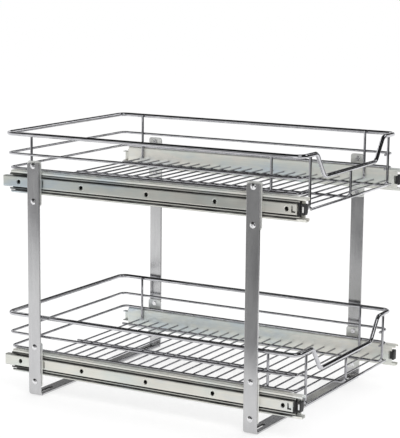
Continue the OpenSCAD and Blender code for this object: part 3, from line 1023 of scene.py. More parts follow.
@dataclass(frozen=True)
class Rivets:
    """The domed rivets that join one frame to its bracket plates."""

    place: Place
    outer_x: float = 183.0
    grip: float = 5.2
    head_r: float = 4.7
    head_h: float = 2.4
    tail_r: float = 3.9
    tail_h: float = 1.4
    shank_r: float = 2.5
    pitch: float = 55.4
    rim: float = 0.25
    tail_edge: float = 0.4
    sides: int = 28

    def profile(self) -> Array:
        """Dome, shank and flat inner head.

        The dome is a circle through its rim and crown: R = (r^2 + h^2) / 2h.

        Returns:
            Points (distance inwards from the strap's face, radius).
        """
        big = (self.head_r**2 + self.head_h**2) / (2 * self.head_h)
        a = np.linspace(0, math.asin((self.head_r - self.rim) / big), 9)
        dome = np.stack([-self.head_h + big * (1 - np.cos(a)), big * np.sin(a)], -1)
        rim = np.array([[-self.rim, self.head_r], [0.0, self.head_r]])
        end, edge = self.grip + self.tail_h, self.tail_edge
        inner = np.array([[0.0, self.shank_r], [self.grip, self.shank_r],
                          [self.grip, self.tail_r], [end - edge, self.tail_r],
                          [end, self.tail_r - edge], [end, 0.0]])
        return np.vstack([dome, rim, inner])

    def build(self) -> None:
        """Makes the eight rivets of the frame as one piece."""
        skin = Skin()
        profile = self.profile()
        for tier in Tier:
            for side in Side:
                for up in (-1, 1):
                    at = np.array([side.value * self.outer_x, self.place.value,
                                   tier.value + up * self.pitch / 2])
                    add_turned(skin, profile, at, side.inwards(), self.sides)
        word = self.place.name.lower()
        skin.piece(f"{word}_rivets", RIVET, "frame", "rivet_steel", [f"{word}_frame_rivets"])


@dataclass(frozen=True)
class BracketPlate:
    """A pressed plate between an upright and a fixed rail."""

    tier: Tier
    place: Place
    side: Side
    x: float = 180.0
    t: float = 2.2
    half_w: float = 12.5
    half_h: float = 35.0
    corner_r: float = 4.0
    edge_r: float = 0.5

    def build(self) -> None:
        """Makes the plate as a stack of loops that draw in by the edge radius r.

        Formula: at the depth r (1 - cos a) a loop is drawn in by r (1 - sin a),
        and its corners by half of that.
        """
        a = np.linspace(0, math.pi / 2, 4)
        drawn, sunk = self.edge_r * (1 - np.sin(a)), self.edge_r * (1 - np.cos(a))
        inset = np.concatenate([drawn, drawn[::-1]])
        depth = np.concatenate([sunk, self.t - sunk[::-1]])
        loops = np.stack([rounded_outline(self.half_w - i, self.half_h - i, self.corner_r - i / 2)
                          for i in inset])
        x = np.broadcast_to(self.side.value * (self.x - depth)[:, None], loops.shape[:2])
        pts = np.stack([x, loops[..., 0] + self.place.value, loops[..., 1] + self.tier.value], -1)
        words = (self.tier.word, self.place.name.lower(), self.side.name.lower())
        Skin().stack(pts).piece("plate_{}_{}_{}".format(*words), PLATE_PAINTED_LIGHT, "frame", "zinc_plate",
                                ["bracket_{}_{}_{}".format(*words)], even=True)


@dataclass(frozen=True)
class RailRivets:
    """Flat rivets that hold the fixed rails' webs to the plates."""

    x: float = 180.0
    stem: float = 3.4
    shank_r: float = 2.0
    head_r: float = 4.0
    head_h: float = 1.2
    edge: float = 0.3
    sides: int = 20

    def build(self) -> None:
        """Makes the eight rivets as one piece."""
        skin = Skin()
        end, edge = self.stem + self.head_h, self.edge
        profile = np.array([[0.0, 0.0], [0.0, self.shank_r], [self.stem, self.shank_r],
                            [self.stem, self.head_r], [end - edge, self.head_r],
                            [end, self.head_r - edge], [end, 0.0]])
        for tier in Tier:
            for side in Side:
                for place in Place:
                    at = np.array([side.value * self.x, place.value, tier.value])
                    add_turned(skin, profile, at, side.inwards(), self.sides)
        skin.piece("rail_rivets", RIVET, "frame", "rivet_steel", ["slide_rivets"])


# ------------------------------------------------------------------ slides


@dataclass(frozen=True)
class Slide:
    """One ball bearing slide: fixed rail, middle rail, outer channel and cages.

    Sections are in (s, v): s runs from the plate towards the basket and v up
    from the slide's centre line. Places along a member are distances from its
    front end.
    """

    tier: Tier
    side: Side
    slide_x: float = 177.8
    sheet_t: float = 1.2
    middle_t: float = 1.0
    half_h: float = 17.5
    depth: float = 12.7
    channel_near: float = 0.9
    channel_bend: float = 1.8
    y_channel: float = -263.35
    y_middle: float = -252.75
    y_fixed: float = -249.35
    length: float = 508.0
    middle_len: float = 500.0
    fixed_half: float = 8.5
    fixed_depth: float = 8.3
    fixed_bend: float = 1.0
    web_edge: float = 1.6
    middle_half: float = 12.9
    middle_near: float = 1.6
    middle_far: float = 10.4
    middle_bend: float = 1.3
    middle_lip: float = 9.9
    outer_lip: float = 13.3
    ball_s: float = 5.5
    ball_d: float = 2.8
    ball_count: int = 5
    ball_pitch: float = 12.4
    cage_t: float = 0.5
    cage_len: float = 63.6
    cage_bend: float = 0.6
    inner_v: float = 10.2
    outer_v: float = 14.6
    inner_web: float = 8.85
    outer_web: float = 10.95
    inner_y: float = 306.5
    outer_y: float = 243.5
    holes: tuple[float, ...] = (16.2, 131.9, 247.6, 363.3, 479.0)
    hole_r: float = 3.2
    hole_reach: float = 6.0
    dish: float = 0.45
    catch_half: float = 5.0
    cut_w: float = 2.4
    cut_y: float = 8.8
    slot_y: float = 432.7
    slot_w: float = 1.8
    slot_half: float = 5.5
    notches: tuple[Pair, ...] = ((6.0, 12.6), (11.5, 6.5))
    # Painted shade: where it starts behind the channel's front, how far the rear shade of a member
    # reaches, and how much of the fixed rail's flanges it covers.
    clean_front: float = 16.0
    shaded_rear: float = 35.0
    past_lip: float = 1.0
    lip_face: float = 0.3
    flange_soil: float = 0.9
    soft_end: float = 0.3
    soft_share: float = 0.996
    bumper_in: float = 2.6
    bumper_half: float = 3.4
    mouth_stop_ahead: float = 1.7

    @property
    def words(self) -> str:
        """Tier and side, as node names give them."""
        return f"{self.tier.word}_{self.side.name.lower()}"

    def into_frame(self, s: Array | float, y: Array | float, v: Array | float) -> Array:
        """Points of the frame from places in the slide.

        Args:
            s: Section distances.
            y: Places along Y.
            v: Heights above the centre line.

        Returns:
            The points; their three numbers are the last axis.
        """
        s, y, v = np.broadcast_arrays(s, y, v)
        return np.stack([self.side.value * (self.slide_x - s), y, self.tier.value + v], -1)

    def softened(self, outline: Array, ys: Array) -> Array:
        """A section carried along, with its two ends drawn in a little.

        At both ends the outline shrinks about its own middle to soft_share,
        which softens the sawn end.

        Args:
            outline: Closed outline, points by 2.
            ys: Places along Y, in rising order.

        Returns:
            Points by places by 3.
        """
        middle = outline[:-1].mean(0)
        size = np.ones(len(ys))
        size[[0, -1]] = self.soft_share
        rings = middle + (outline - middle) * size[:, None, None]
        return self.into_frame(rings[..., 0], ys[:, None], rings[..., 1])

    def member(self, outline: Array, y0: float, y1: float, soil: Array | float = 0.0,
               rear: Array | float | None = None) -> Skin:
        """A closed member with one section from y0 to y1.

        Args:
            outline: Closed outline, points by 2.
            y0: Front end.
            y1: Rear end.
            soil: Painted shade on each point of the outline.
            rear: Painted shade on each point near the rear end; as before it if None.

        Returns:
            The skin.
        """
        # From shaded_rear before the rear end the member takes the rear's painted shade.
        ys = np.array([y0, y0 + self.soft_end, y1 - self.shaded_rear - 1,
                       y1 - self.shaded_rear, y1 - self.soft_end, y1])
        spread = [np.broadcast_to(x, len(outline)) for x in (soil, soil if rear is None else rear)]
        return Skin().stack(self.softened(outline, ys), np.repeat(spread, 3, axis=0))

    @staticmethod
    def inner_faces(outline: Array, depth: float, top: float) -> Array:
        """Marks the points of a section that look inwards.

        A point looks inwards where it lies inside the rectangle of the sheet's
        middle line, and within its open part.

        Args:
            outline: Points of the section.
            depth: Section distance of the web's middle line.
            top: Height of the arms' middle line.

        Returns:
            0 or 1 for each point.
        """
        return ((outline[:, 0] < depth) & (np.abs(outline[:, 1]) < top)).astype(float)

    @staticmethod
    def lipped(near: float, far: float, top: float, lip: float) -> list[Pair]:
        """Corners of a C section that ends in two lips, from the upper lip down."""
        return [(near, lip), (near, top), (far, top), (far, -top), (near, -top), (near, -lip)]

    def outer_channel(self) -> None:
        """Makes the channel that carries the basket.

        Painted shade lies in its races, which are the arms' inner faces, and
        over the lips, weaker over the upper one.
        """
        t = self.sheet_t
        near, far, top = self.channel_near + t / 2, self.depth - t / 2, self.half_h - t / 2
        outline = sheet_outline(self.lipped(near, far, top, self.outer_lip + t / 2),
                                self.channel_bend, t)
        s, v = outline[:, 0], outline[:, 1]
        at_balls = np.abs(v) > self.outer_lip - self.past_lip
        races = self.inner_faces(outline, far, top) * at_balls * (s > near)
        # Painted shade over the lips: full on the lower one, 0.6 of it on the upper one.
        down, up, thin = -15.2, 14.0, 0.6
        lip_shade = (v > down) * (v < 0) + thin * (v > 0) * (v < up)
        lips = (s < near + self.lip_face) * lip_shade
        skin = self.notched(outline, far, np.maximum(races, lips))
        skin.piece(f"channel_{self.words}", CHANNEL, f"{self.tier.word}_basket", "zinc_sheet",
                   [f"outer_channel_{self.words}"])

    def notched(self, outline: Array, web: float, soil: Array) -> Skin:
        """Carries the channel's section along, less a stepped notch in the web at its front end.

        The outline runs down one face of the web and up the other, so that it
        crosses each step's two heights four times. Between the first two and
        the last two crossings the step is left out as far back as it reaches,
        and its walls are the flat loops through them.

        Args:
            outline: Closed section, points by 2.
            web: Section distance of the web's middle line.
            soil: Painted shade on each point of the outline.

        Returns:
            The skin.
        """
        section = outline.copy()
        at_web = np.abs(section[:, 0] - web) < self.sheet_t / 2 + 0.01
        half = len(section) // 2
        crossings = []
        for _, high in self.notches:
            near = [np.where(at_web, np.abs(section[:, 1] - up * high), np.inf) for up in (1, -1)]
            crossings.append(sorted(int(np.argmin(n[:half])) for n in near)
                             + sorted(half + int(np.argmin(n[half:])) for n in near))
            section[crossings[-1], 1] = np.sign(section[crossings[-1], 1]) * high
        run = np.array([0.0, self.soft_end, *(deep for deep, _ in self.notches), self.clean_front,
                        self.length - self.soft_end, self.length])
        pts = self.softened(section, self.y_channel + run)
        # Painted shade only from clean_front back.
        shade_marks = (run >= self.clean_front)[:, None] * soil
        keep = np.ones((len(run) - 1, len(section) - 1), bool)
        a, b, c, d = crossings[0]
        loops = [np.concatenate([pts[0, :a + 1], pts[0, d:-1]]), pts[0, b:c + 1]]
        row = 0
        for deep, (a, b, c, d) in enumerate(crossings, 2):
            keep[row:deep, a:b] = keep[row:deep, c:d] = False
            for one, two in ((a, d), (b, c)):
                loops.append(np.concatenate([pts[row:deep + 1, one],
                                             pts[row:deep + 1, two][::-1]]))
            row = deep
        for (deep, (a, b, c, d)), inner in zip(enumerate(crossings, 2), [*crossings[1:], None]):
            if inner is None:
                loops.append(np.concatenate([pts[deep, a:b + 1], pts[deep, c:d + 1]]))
            else:
                e, f, g, h = inner
                loops.append(np.concatenate([pts[deep, a:e + 1], pts[deep, h:d + 1]]))
                loops.append(np.concatenate([pts[deep, f:b + 1], pts[deep, c:g + 1]]))
        skin = Skin().grid(pts, keep, shade_marks).cap(pts[-1])
        for loop in loops:
            skin.cap(np.vstack([loop, loop[:1]]))
        return skin

    def middle_rail(self) -> None:
        """Makes the intermediate member.

        Painted shade lies in its races, on the edges of its lips, weakly on the
        rest of them and on the outside of its arms, where the outer balls run.
        Near the rear end it covers the whole inside.
        """
        t = self.middle_t
        near, far, top = self.middle_near + t / 2, self.middle_far - t / 2, self.middle_half - t / 2
        outline = sheet_outline(self.lipped(near, far, top, self.middle_lip + t / 2),
                                self.middle_bend, t)
        s, v = outline[:, 0], outline[:, 1]
        inside = self.inner_faces(outline, far, top)
        races = inside * (s > near) * (np.abs(v) > self.middle_lip - self.past_lip)
        # Painted shade on the lip edges, weaker on the rest of the lips, and on the arms' outsides.
        edge, thin, more_above = 0.6, 0.35, 0.15
        lip_shade = np.where(np.abs(v) < self.middle_lip + edge, 1.0, thin + more_above * (v > 0))
        lips = (s < near + self.lip_face) * lip_shade
        soil = np.maximum(np.maximum(races, lips), np.abs(v) > top - self.lip_face)
        skin = self.member(outline, self.y_middle, self.y_middle + self.middle_len, soil,
                           np.maximum(soil, inside))
        skin.piece(f"middle_{self.words}", ZINC, f"{self.tier.word}_middle_rails", "zinc_sheet",
                   [f"middle_rail_{self.words}"])

    def walls(self, skin: Skin, lines: Sequence[tuple[Pair, Pair]]) -> None:
        """Adds the walls of a cut through the fixed rail's web.

        Args:
            skin: Skin to add to.
            lines: Ends of each wall, as (distance from the rail's front, height).
        """
        through = np.array([[0.0], [self.sheet_t]])
        for line in lines:
            ends = np.array(line)
            skin.grid(self.into_frame(through, ends[None, :, 0] + self.y_fixed, ends[None, :, 1]))

    def hole_cell(self, skin: Skin, ys: Array, marks: Array) -> None:
        """Adds the web round a screw hole.

        Each face is the blend from the hole's circle to the cell's rim. Near
        the hole it goes in steps of the radius, and is dished towards the hole.

        Args:
            skin: Skin to add to.
            ys: Places along Y, from one end of the cell to the other.
            marks: Heights up the web.
        """
        rim = cell_rim(ys, marks)
        centre = np.array([(ys[0] + ys[-1]) / 2, 0.0])
        away = rim - centre
        edge = centre + self.hole_r * away / np.linalg.norm(away, axis=1, keepdims=True)
        grown = np.array([0.0, 0.06, 0.14, 0.22, 0.3])[:, None, None]
        face = np.concatenate([centre + (edge - centre) * (1 + grown), rim[None]])
        dish = np.array([self.dish, 0.4, 0.24, 0.08, 0.0, 0.0])[:, None]
        for s in (0.0, self.sheet_t):
            skin.grid(self.into_frame(s + dish, face[..., 0], face[..., 1]))
        wall = np.array([self.dish, self.dish + self.sheet_t])[:, None]
        skin.grid(self.into_frame(wall, face[:1, :, 0], face[:1, :, 1]))

    def flat_cell(self, skin: Skin, kind: Cell, ys: Array, marks: Array) -> None:
        """Adds a flat part of the web: plain, or with the catch's or the rear slot's cut.

        The faces are grids, from which the cut is left out, and the cut has
        walls through the web. The catch's cut is a low and a long stroke that
        meet in an L.

        Args:
            skin: Skin to add to.
            kind: Which cut.
            ys: Places along Y.
            marks: Heights up the web.
        """
        gy, gv = np.meshgrid(ys, marks, indexing="ij")
        keep = np.ones((len(ys) - 1, len(marks) - 1), bool)
        if kind is Cell.CATCH:
            keep[2, 2:6] = False
            keep[1, 2] = False
            a, b, c, h = self.cut_w, self.cut_y - self.cut_w, self.cut_y, self.catch_half
            low = self.cut_w - h
            self.walls(skin, (((b, low), (b, h)), ((c, -h), (c, h)), ((b, h), (c, h)),
                              ((a, -h), (c, -h)), ((a, low), (b, low)), ((a, -h), (a, low))))
        elif kind is Cell.SLOT:
            keep[1, 1:7] = False
            a, b, h = self.slot_y, self.slot_y + self.slot_w, self.slot_half
            self.walls(skin, (((a, -h), (a, h)), ((b, -h), (b, h)),
                              ((a, -h), (b, -h)), ((a, h), (b, h))))
        for s in (0.0, self.sheet_t):
            skin.grid(self.into_frame(np.full_like(gy, s), gy, gv), keep)

    def web_cells(self) -> list[tuple[Cell, Array]]:
        """Divides the fixed rail's web into cells.

        Returns:
            Each cell's kind and its places along the rail, front to rear.
        """
        cells = [(Cell.CATCH, np.array([0.0, self.cut_w, self.cut_y - self.cut_w, self.cut_y]))]
        last = self.cut_y
        for y in self.holes:
            near, far = y - self.hole_reach, y + self.hole_reach
            if last < self.slot_y < near:
                cells.append((Cell.SLOT, np.array([last, self.slot_y, self.slot_y + self.slot_w,
                                                   near])))
            elif near > last:
                cells.append((Cell.PLAIN, np.array([last, near])))
            cells.append((Cell.HOLE, np.linspace(near, far, 13)))
            last = far
        cells.append((Cell.PLAIN, np.array([last, self.length])))
        return cells

    def fixed_rail(self) -> None:
        """Makes the member that is riveted to the plates, with its pierced web.

        The web is cut into cells, each with its own hole or cut. The two
        flanges are bent sheet outlines carried along all the cells' places,
        with painted shade on their outsides, where the inner balls run.
        """
        t, half = self.sheet_t, self.fixed_half
        web, catch, slot = half - self.web_edge, self.catch_half, self.slot_half
        skin = Skin()
        marks = np.array([-web, -slot, -catch, self.cut_w - catch, 0.0, catch - self.cut_w,
                          catch, slot, web])
        cells = self.web_cells()
        for kind, ys in cells:
            if kind is Cell.HOLE:
                self.hole_cell(skin, ys + self.y_fixed, marks)
            else:
                self.flat_cell(skin, kind, ys + self.y_fixed, marks)
        lines = self.y_fixed + np.unique(np.concatenate([ys for _, ys in cells]))
        a = half_turn()
        corners = [(t / 2, web), (t / 2, half - t / 2), (self.fixed_depth, half - t / 2)]
        for up in (1, -1):
            mid, n = bent_line(corners, self.fixed_bend)
            tip = mid[-1] + t / 2 * (np.cos(a) * n[-1] + np.sin(a) * np.array([1.0, 0.0]))
            flange = np.concatenate([mid + n * t / 2, tip, (mid - n * t / 2)[::-1]])
            flange[:, 1] *= up
            pts = self.into_frame(flange[None, :, 0], lines[:, None], flange[None, :, 1])
            # Painted shade on the flanges' outer edges.
            skin.grid(pts, soil=(np.abs(flange[:, 1]) > half - self.flange_soil) * 1.0)
            for row in (pts[0], pts[-1]):
                skin.cap(np.vstack([row, row[:1]]))
        for y in (lines[0], lines[-1]):
            gs, gv = np.meshgrid(np.array([0.0, t]), marks, indexing="ij")
            skin.grid(self.into_frame(gs, y, gv))
        skin.piece(f"fixed_{self.words}", ZINC, "frame", "zinc_sheet",
                   [f"fixed_rail_{self.words}"], even=True)

    def cage(self, which: str, y: float, web: float, v: float) -> None:
        """Makes a ball cage: a bent strip with a row of balls in each arm.

        Args:
            which: inner or outer.
            y: Middle of the cage along Y.
            web: Section distance of the strip's web.
            v: Height of the rows of balls.
        """
        near = self.ball_s - self.ball_d / 2 - 1.0 + self.cage_t / 2
        outline = sheet_outline([(near, v), (web, v), (web, -v), (near, -v)],
                                self.cage_bend, self.cage_t)
        skin = self.member(outline, y - self.cage_len / 2, y + self.cage_len / 2)
        ys = y + (np.arange(self.ball_count) - self.ball_count // 2) * self.ball_pitch
        gy, gv = np.meshgrid(ys, np.array([-v, v]))
        balls = self.into_frame(np.full(gy.size, self.ball_s), gy.ravel(), gv.ravel())
        add_beads(skin, balls, (self.ball_d / 2,) * 3, 12)
        skin.piece(f"{which}_cage_with_balls_{self.words}", CAGE,
                   f"{self.tier.word}_{which}_cages", "cage_steel", [f"{which}_cage_{self.words}"])

    def block(self, y: float, rows: Sequence[tuple[float, float, float, float]]) -> Skin:
        """A block as a stack of rectangles with round corners.

        Args:
            y: Middle of the block along Y.
            rows: Section distance, half width, half height and corner radius of each.

        Returns:
            The skin.
        """
        loops = np.stack([rounded_outline(w, h, r) for _, w, h, r in rows])
        s = np.array([row[0] for row in rows])[:, None]
        return Skin().stack(self.into_frame(s, y + loops[..., 0], loops[..., 1]))

    def bumper(self) -> None:
        """Makes the rubber stop in the channel's mouth, and the tongue in its slot.

        The stop's loops are the slot's floor, the slot's mouth, the rounded
        face, the block's back, and the neck that fills the notch and ends just
        behind the web. The tongue is the channel's own metal, in the brackets'
        paler zinc, whose paler tints are painted light.
        """
        y = self.y_channel + self.bumper_in + self.bumper_half
        carrier = f"{self.tier.word}_basket"
        behind, half = self.depth - self.sheet_t - CLEARANCE, self.bumper_half
        slot, neck = (1.5, 4.7, 0.5), (3.2, 5.6, 0.8)
        stop = self.block(y, [(7.0, *slot), (3.0, *slot),
                              (2.45, 1.75, 5.0, 0.7), (2.4, 2.7, 7.3, 1.2), (2.55, 3.1, 7.7, 1.4),
                              (3.0, half, 8.0, 1.5), (behind, half, 8.0, 1.5),
                              (behind, *neck), (self.depth + 0.1, *neck),
                              (self.depth + 0.3, 3.0, 5.4, 0.7)])
        stop.piece(f"stop_block_{self.words}", RUBBER, carrier, "bumper_rubber",
                   [f"bumper_{self.words}"])
        tongue = self.block(y, [(2.8, 1.0, 4.2, 0.4), (2.9, 1.2, 4.4, 0.5), (6.9, 1.2, 4.4, 0.5)])
        tongue.piece(f"stop_tongue_{self.words}", PLATE_PAINTED_LIGHT, carrier, "zinc_sheet")

    def mouth_stop(self) -> None:
        """Makes the rubber strip across the middle rail's front mouth, and its peg."""
        face, back, web = 2.9, 9.3, self.middle_far
        strip, peg = (1.4, 11.6, 0.8), (0.79, 0.79, 0.78)
        skin = self.block(self.y_fixed - self.mouth_stop_ahead, [
            (face, 1.1, 11.3, 0.6), (face + 0.15, 1.3, 11.5, 0.75), (face + 0.5, *strip),
            (back, *strip), (back, *peg), (web - 0.1, *peg), (web, 0.7, 0.7, 0.69)])
        skin.piece(f"mouth_stop_{self.words}", RUBBER, f"{self.tier.word}_middle_rails",
                   "bumper_rubber", [f"middle_stop_{self.words}"])

    def build(self) -> None:
        """Makes every member of the slide."""
        self.outer_channel()
        self.middle_rail()
        self.fixed_rail()
        self.cage("inner", self.y_fixed + self.inner_y, self.inner_web, self.inner_v)
        self.cage("outer", self.y_fixed + self.outer_y, self.outer_web, self.outer_v)
        self.bumper()
        self.mouth_stop()


# ----------------------------------------------------------------- baskets


@dataclass(frozen=True)
class WireBasket:
    """One basket of plated wire."""

    tier: Tier
    x_top: float = 168.3
    x_side: float = 167.1
    x_stay: float = 163.0
    reach: float = 165.0
    y_front: float = -250.85
    y_rear: float = 260.15
    top_z: float = 73.0
    mid_z: float = 42.0
    low_z: float = 19.6
    rail_d: float = 6.4
    wire_d: float = 4.0
    grid_d: float = 2.6
    rail_bend: float = 13.0
    wire_bend: float = 9.0
    handle_z: float = 37.0
    handle_half: float = 92.0
    handle_run: float = 27.0
    stay_half: float = 140.0
    stay_ys: tuple[float, float] = (-200.85, 215.15)
    long_z: float = -6.0
    grid_z: float = -2.6
    grid_first: float = -236.75
    grid_pitch: float = 20.0
    grid_count: int = 24
    rail_tail: float = 2.0
    mid_in: float = 2.5
    low_in: float = 6.0
    long_tail: float = 18.0
    foot_gap: float = 0.3
    cut_bend: float = 1.0
    wire_sides: int = 18
    rail_sides: int = 28
    grid_sides: int = 12
    crossing_rise: float = 0.35
    crossing_bead: Triple = (1.5, 1.2, 1.1)
    side_bead: Triple = (1.0, 1.7, 1.7)
    front_bead: Triple = (1.7, 1.0, 1.7)
    top_bead: Triple = (2.6, 2.6, 0.8)
    foot_bead: Triple = (1.9, 1.9, 1.9)

    @property
    def body(self) -> str:
        """The CAD body of this basket."""
        return f"{self.tier.word}_basket"

    @property
    def grid_ys(self) -> Array:
        """Places of the grid wires along Y."""
        return self.grid_first + np.arange(self.grid_count) * self.grid_pitch

    @property
    def stay_xs(self) -> Triple:
        """Places of the front stays along X."""
        return -self.stay_half, 0.0, self.stay_half

    def wires(self, name: str, routes: Sequence[Route], d: float, sides: int,
              finish: Finish = WIRE, end: EndShape = EndShape.CUT) -> None:
        """Makes one piece of wires.

        Args:
            name: The CAD node's name without the tier.
            routes: Paths with heights above the slides' centre line.
            d: Diameter.
            sides: Points round the wire.
            finish: Its finish.
            end: How the wires end.
        """
        skin = Skin()
        lift = np.array([0, 0, self.tier.value])
        for route in routes:
            raised = tuple(tuple(np.array(c) + lift) for c in route.corners)
            add_wire(skin, Route(raised, route.bend, route.bend_steps), d, sides, end)
        skin.piece(f"{self.tier.word}_{name}_wire", finish, self.body, "chrome_wire",
                   [f"{self.tier.word}_{name}"])

    def top_rail(self) -> None:
        """Makes the closed rail that dips into the handle."""
        x, yf, yr, z = self.x_top, self.y_front, self.y_rear, self.top_z
        half, low = self.handle_half, self.handle_z
        slope = half + self.handle_run
        path = ((0, yr, z), (x, yr, z), (x, yf, z), (slope, yf, z), (half, yf, low),
                (-half, yf, low), (-slope, yf, z), (-x, yf, z), (-x, yr, z), (0, yr, z))
        self.wires("top_rail", [Route(path, self.rail_bend, 11)], self.rail_d, self.rail_sides,
                   end=EndShape.CLOSED)

    def open_rail(self, name: str, z: float, y_rear: float) -> None:
        """Makes a rail that ends at the front stays.

        Args:
            name: The CAD node's name without the tier.
            z: Height above the slides' centre line.
            y_rear: Where its rear run is.
        """
        x, end = self.x_side, self.stay_half - self.rail_tail
        yf = self.y_front + self.wire_d + CLEARANCE
        path = ((-end, yf, z), (-x, yf, z), (-x, y_rear, z),
                (x, y_rear, z), (x, yf, z), (end, yf, z))
        self.wires(name, [Route(path, self.wire_bend)], self.wire_d, self.wire_sides)

    def stays(self) -> None:
        """Makes the side stays, and the front stays that run back under the grid."""
        foot = self.grid_z + self.grid_d / 2 + self.foot_gap
        head = self.top_z + self.wire_d / 2
        sides = [Route(((x, y, foot), (x, y, head)), self.cut_bend)
                 for x in (-self.x_stay, self.x_stay) for y in self.stay_ys]
        self.wires("side_stays", sides, self.wire_d, self.wire_sides, STAY_PAINTED_DARK)
        yf, low = self.y_front, self.long_z
        tail = self.grid_first + (self.grid_count - 1) * self.grid_pitch + self.long_tail
        tops = np.array([self.top_z, self.handle_z, self.top_z]) - self.rail_d / 2 - CLEARANCE
        fronts = [Route(((x, yf, top), (x, yf, low), (x, tail, low)), self.wire_bend)
                  for x, top in zip(self.stay_xs, tops)]
        self.wires("front_stays", fronts, self.wire_d, self.wire_sides, STAY_PAINTED_DARK)

    def bead_row(self, skin: Skin, x: Sequence[float], y: Array | float, z: Array | float,
                 size: Triple, turns: int = 8) -> None:
        """Adds weld beads at places given by their X, Y and Z.

        Args:
            skin: Skin to add to.
            x: Places along X.
            y: Place of each along Y, or one for all.
            z: Height of each above the slides' centre line, or one for all.
            size: Half axes along X, Y and Z.
            turns: Faces round a bead.
        """
        places = np.stack(np.broadcast_arrays(x, y, np.add(z, self.tier.value)), -1)
        add_beads(skin, places.reshape(-1, 3), size, turns)

    def beads(self) -> None:
        """Makes the small weld beads where wires cross.

        They are, in this order: where the grid wires cross the front stays'
        long runs, where the rails touch the side stays and the front stays,
        where the front stays meet the top rail, and at the front wire. Its
        bead lies on the line from the wire to the middle of the stay's bend,
        halfway between the wire's and the stay's own middle lines.
        """
        skin = Skin()
        yf, r, outer = self.y_front, self.wire_d / 2, (-self.stay_half, self.stay_half)
        gx, gy = np.meshgrid(self.stay_xs, self.grid_ys)
        crossing = (self.grid_z + self.long_z) / 2 + self.crossing_rise
        self.bead_row(skin, gx, gy, crossing, self.crossing_bead, 6)
        touch = (self.x_stay + self.x_side) / 2
        gx, gy, gz = np.meshgrid([-touch, touch], self.stay_ys, [self.mid_z, self.low_z])
        self.bead_row(skin, gx, gy, gz, self.side_bead)
        gx, gz = np.meshgrid(outer, [self.mid_z, self.low_z])
        self.bead_row(skin, gx, yf + r + CLEARANCE / 2, gz, self.front_bead)
        gz = np.array([self.top_z, self.top_z, self.handle_z]) - self.rail_d / 2
        self.bead_row(skin, (*outer, 0.0), yf, gz, self.top_bead, 12)
        wire = np.array([yf - self.wire_d - CLEARANCE, self.long_z + r])
        gap = np.array([yf, self.long_z]) + self.wire_bend - wire
        foot = wire + unit(gap) * (np.linalg.norm(gap) - self.wire_bend) / 2
        self.bead_row(skin, self.stay_xs, foot[0], foot[1], self.foot_bead)
        skin.piece(f"{self.tier.word}_weld_beads", WIRE, self.body, "chrome_wire")

    def build(self) -> None:
        """Makes every wire of the basket."""
        self.top_rail()
        self.open_rail("middle_rail", self.mid_z, self.y_rear - self.mid_in)
        self.open_rail("bottom_rail", self.low_z, self.y_rear - self.low_in)
        self.stays()
        x, z = self.reach, self.grid_z
        grid = [Route(((-x, y, z), (x, y, z)), self.cut_bend) for y in self.grid_ys]
        self.wires("grid_wires", grid, self.grid_d, self.grid_sides, GRID_PAINTED_DARK)
        x, y = self.stay_half + self.wire_d, self.y_front - self.wire_d - CLEARANCE
        z = self.long_z + self.wire_d / 2
        front = Route(((-x, y, z), (x, y, z)), self.cut_bend)
        self.wires("front_wire", [front], self.wire_d, self.wire_sides)
        self.beads()


# ------------------------------------------------------------------- stage


def placed(axes: Sequence[Array], place: Sequence[float]) -> Matrix:
    """The matrix of an object with given axes at a given place.

    Args:
        axes: Its unit X, Y and Z.
        place: Where it is, in metres.

    Returns:
        The 4 by 4 matrix; its columns are the axes and the place.
    """
    return Matrix([[*row, at] for row, at in zip(np.stack(axes, 1), place)] + [[0, 0, 0, 1]])


@dataclass(frozen=True)
class Camera:
    """The photograph's viewpoint, fitted to the object's own points."""

    place: Triple = (-2127.2, -1201.65, 699.0)
    heading: float = 60.39
    dip: float = 9.89
    roll: float = 0.56
    focal_px: float = 1570.0
    photo_h: int = 438
    sensor_mm: float = 36.0
    far_m: float = 50.0

    def build(self) -> None:
        """Makes the camera; its axes are right, up and back, turned by the roll."""
        h, d, r = (math.radians(x) for x in (self.heading, self.dip, self.roll))
        ahead = np.array([math.sin(h) * math.cos(d), math.cos(h) * math.cos(d), -math.sin(d)])
        level = unit(np.cross(ahead, UP))
        steep = np.cross(level, ahead)
        right = level * math.cos(r) + steep * math.sin(r)
        up = steep * math.cos(r) - level * math.sin(r)
        data = bpy.data.cameras.new("camera")
        data.sensor_width = self.sensor_mm
        data.lens = self.focal_px / self.photo_h * self.sensor_mm
        data.clip_end = self.far_m
        obj = bpy.data.objects.new("camera", data)
        obj.matrix_world = placed([right, up, -ahead], np.array(self.place) * MM)
        bpy.context.scene.collection.objects.link(obj)
        bpy.context.scene.camera = obj


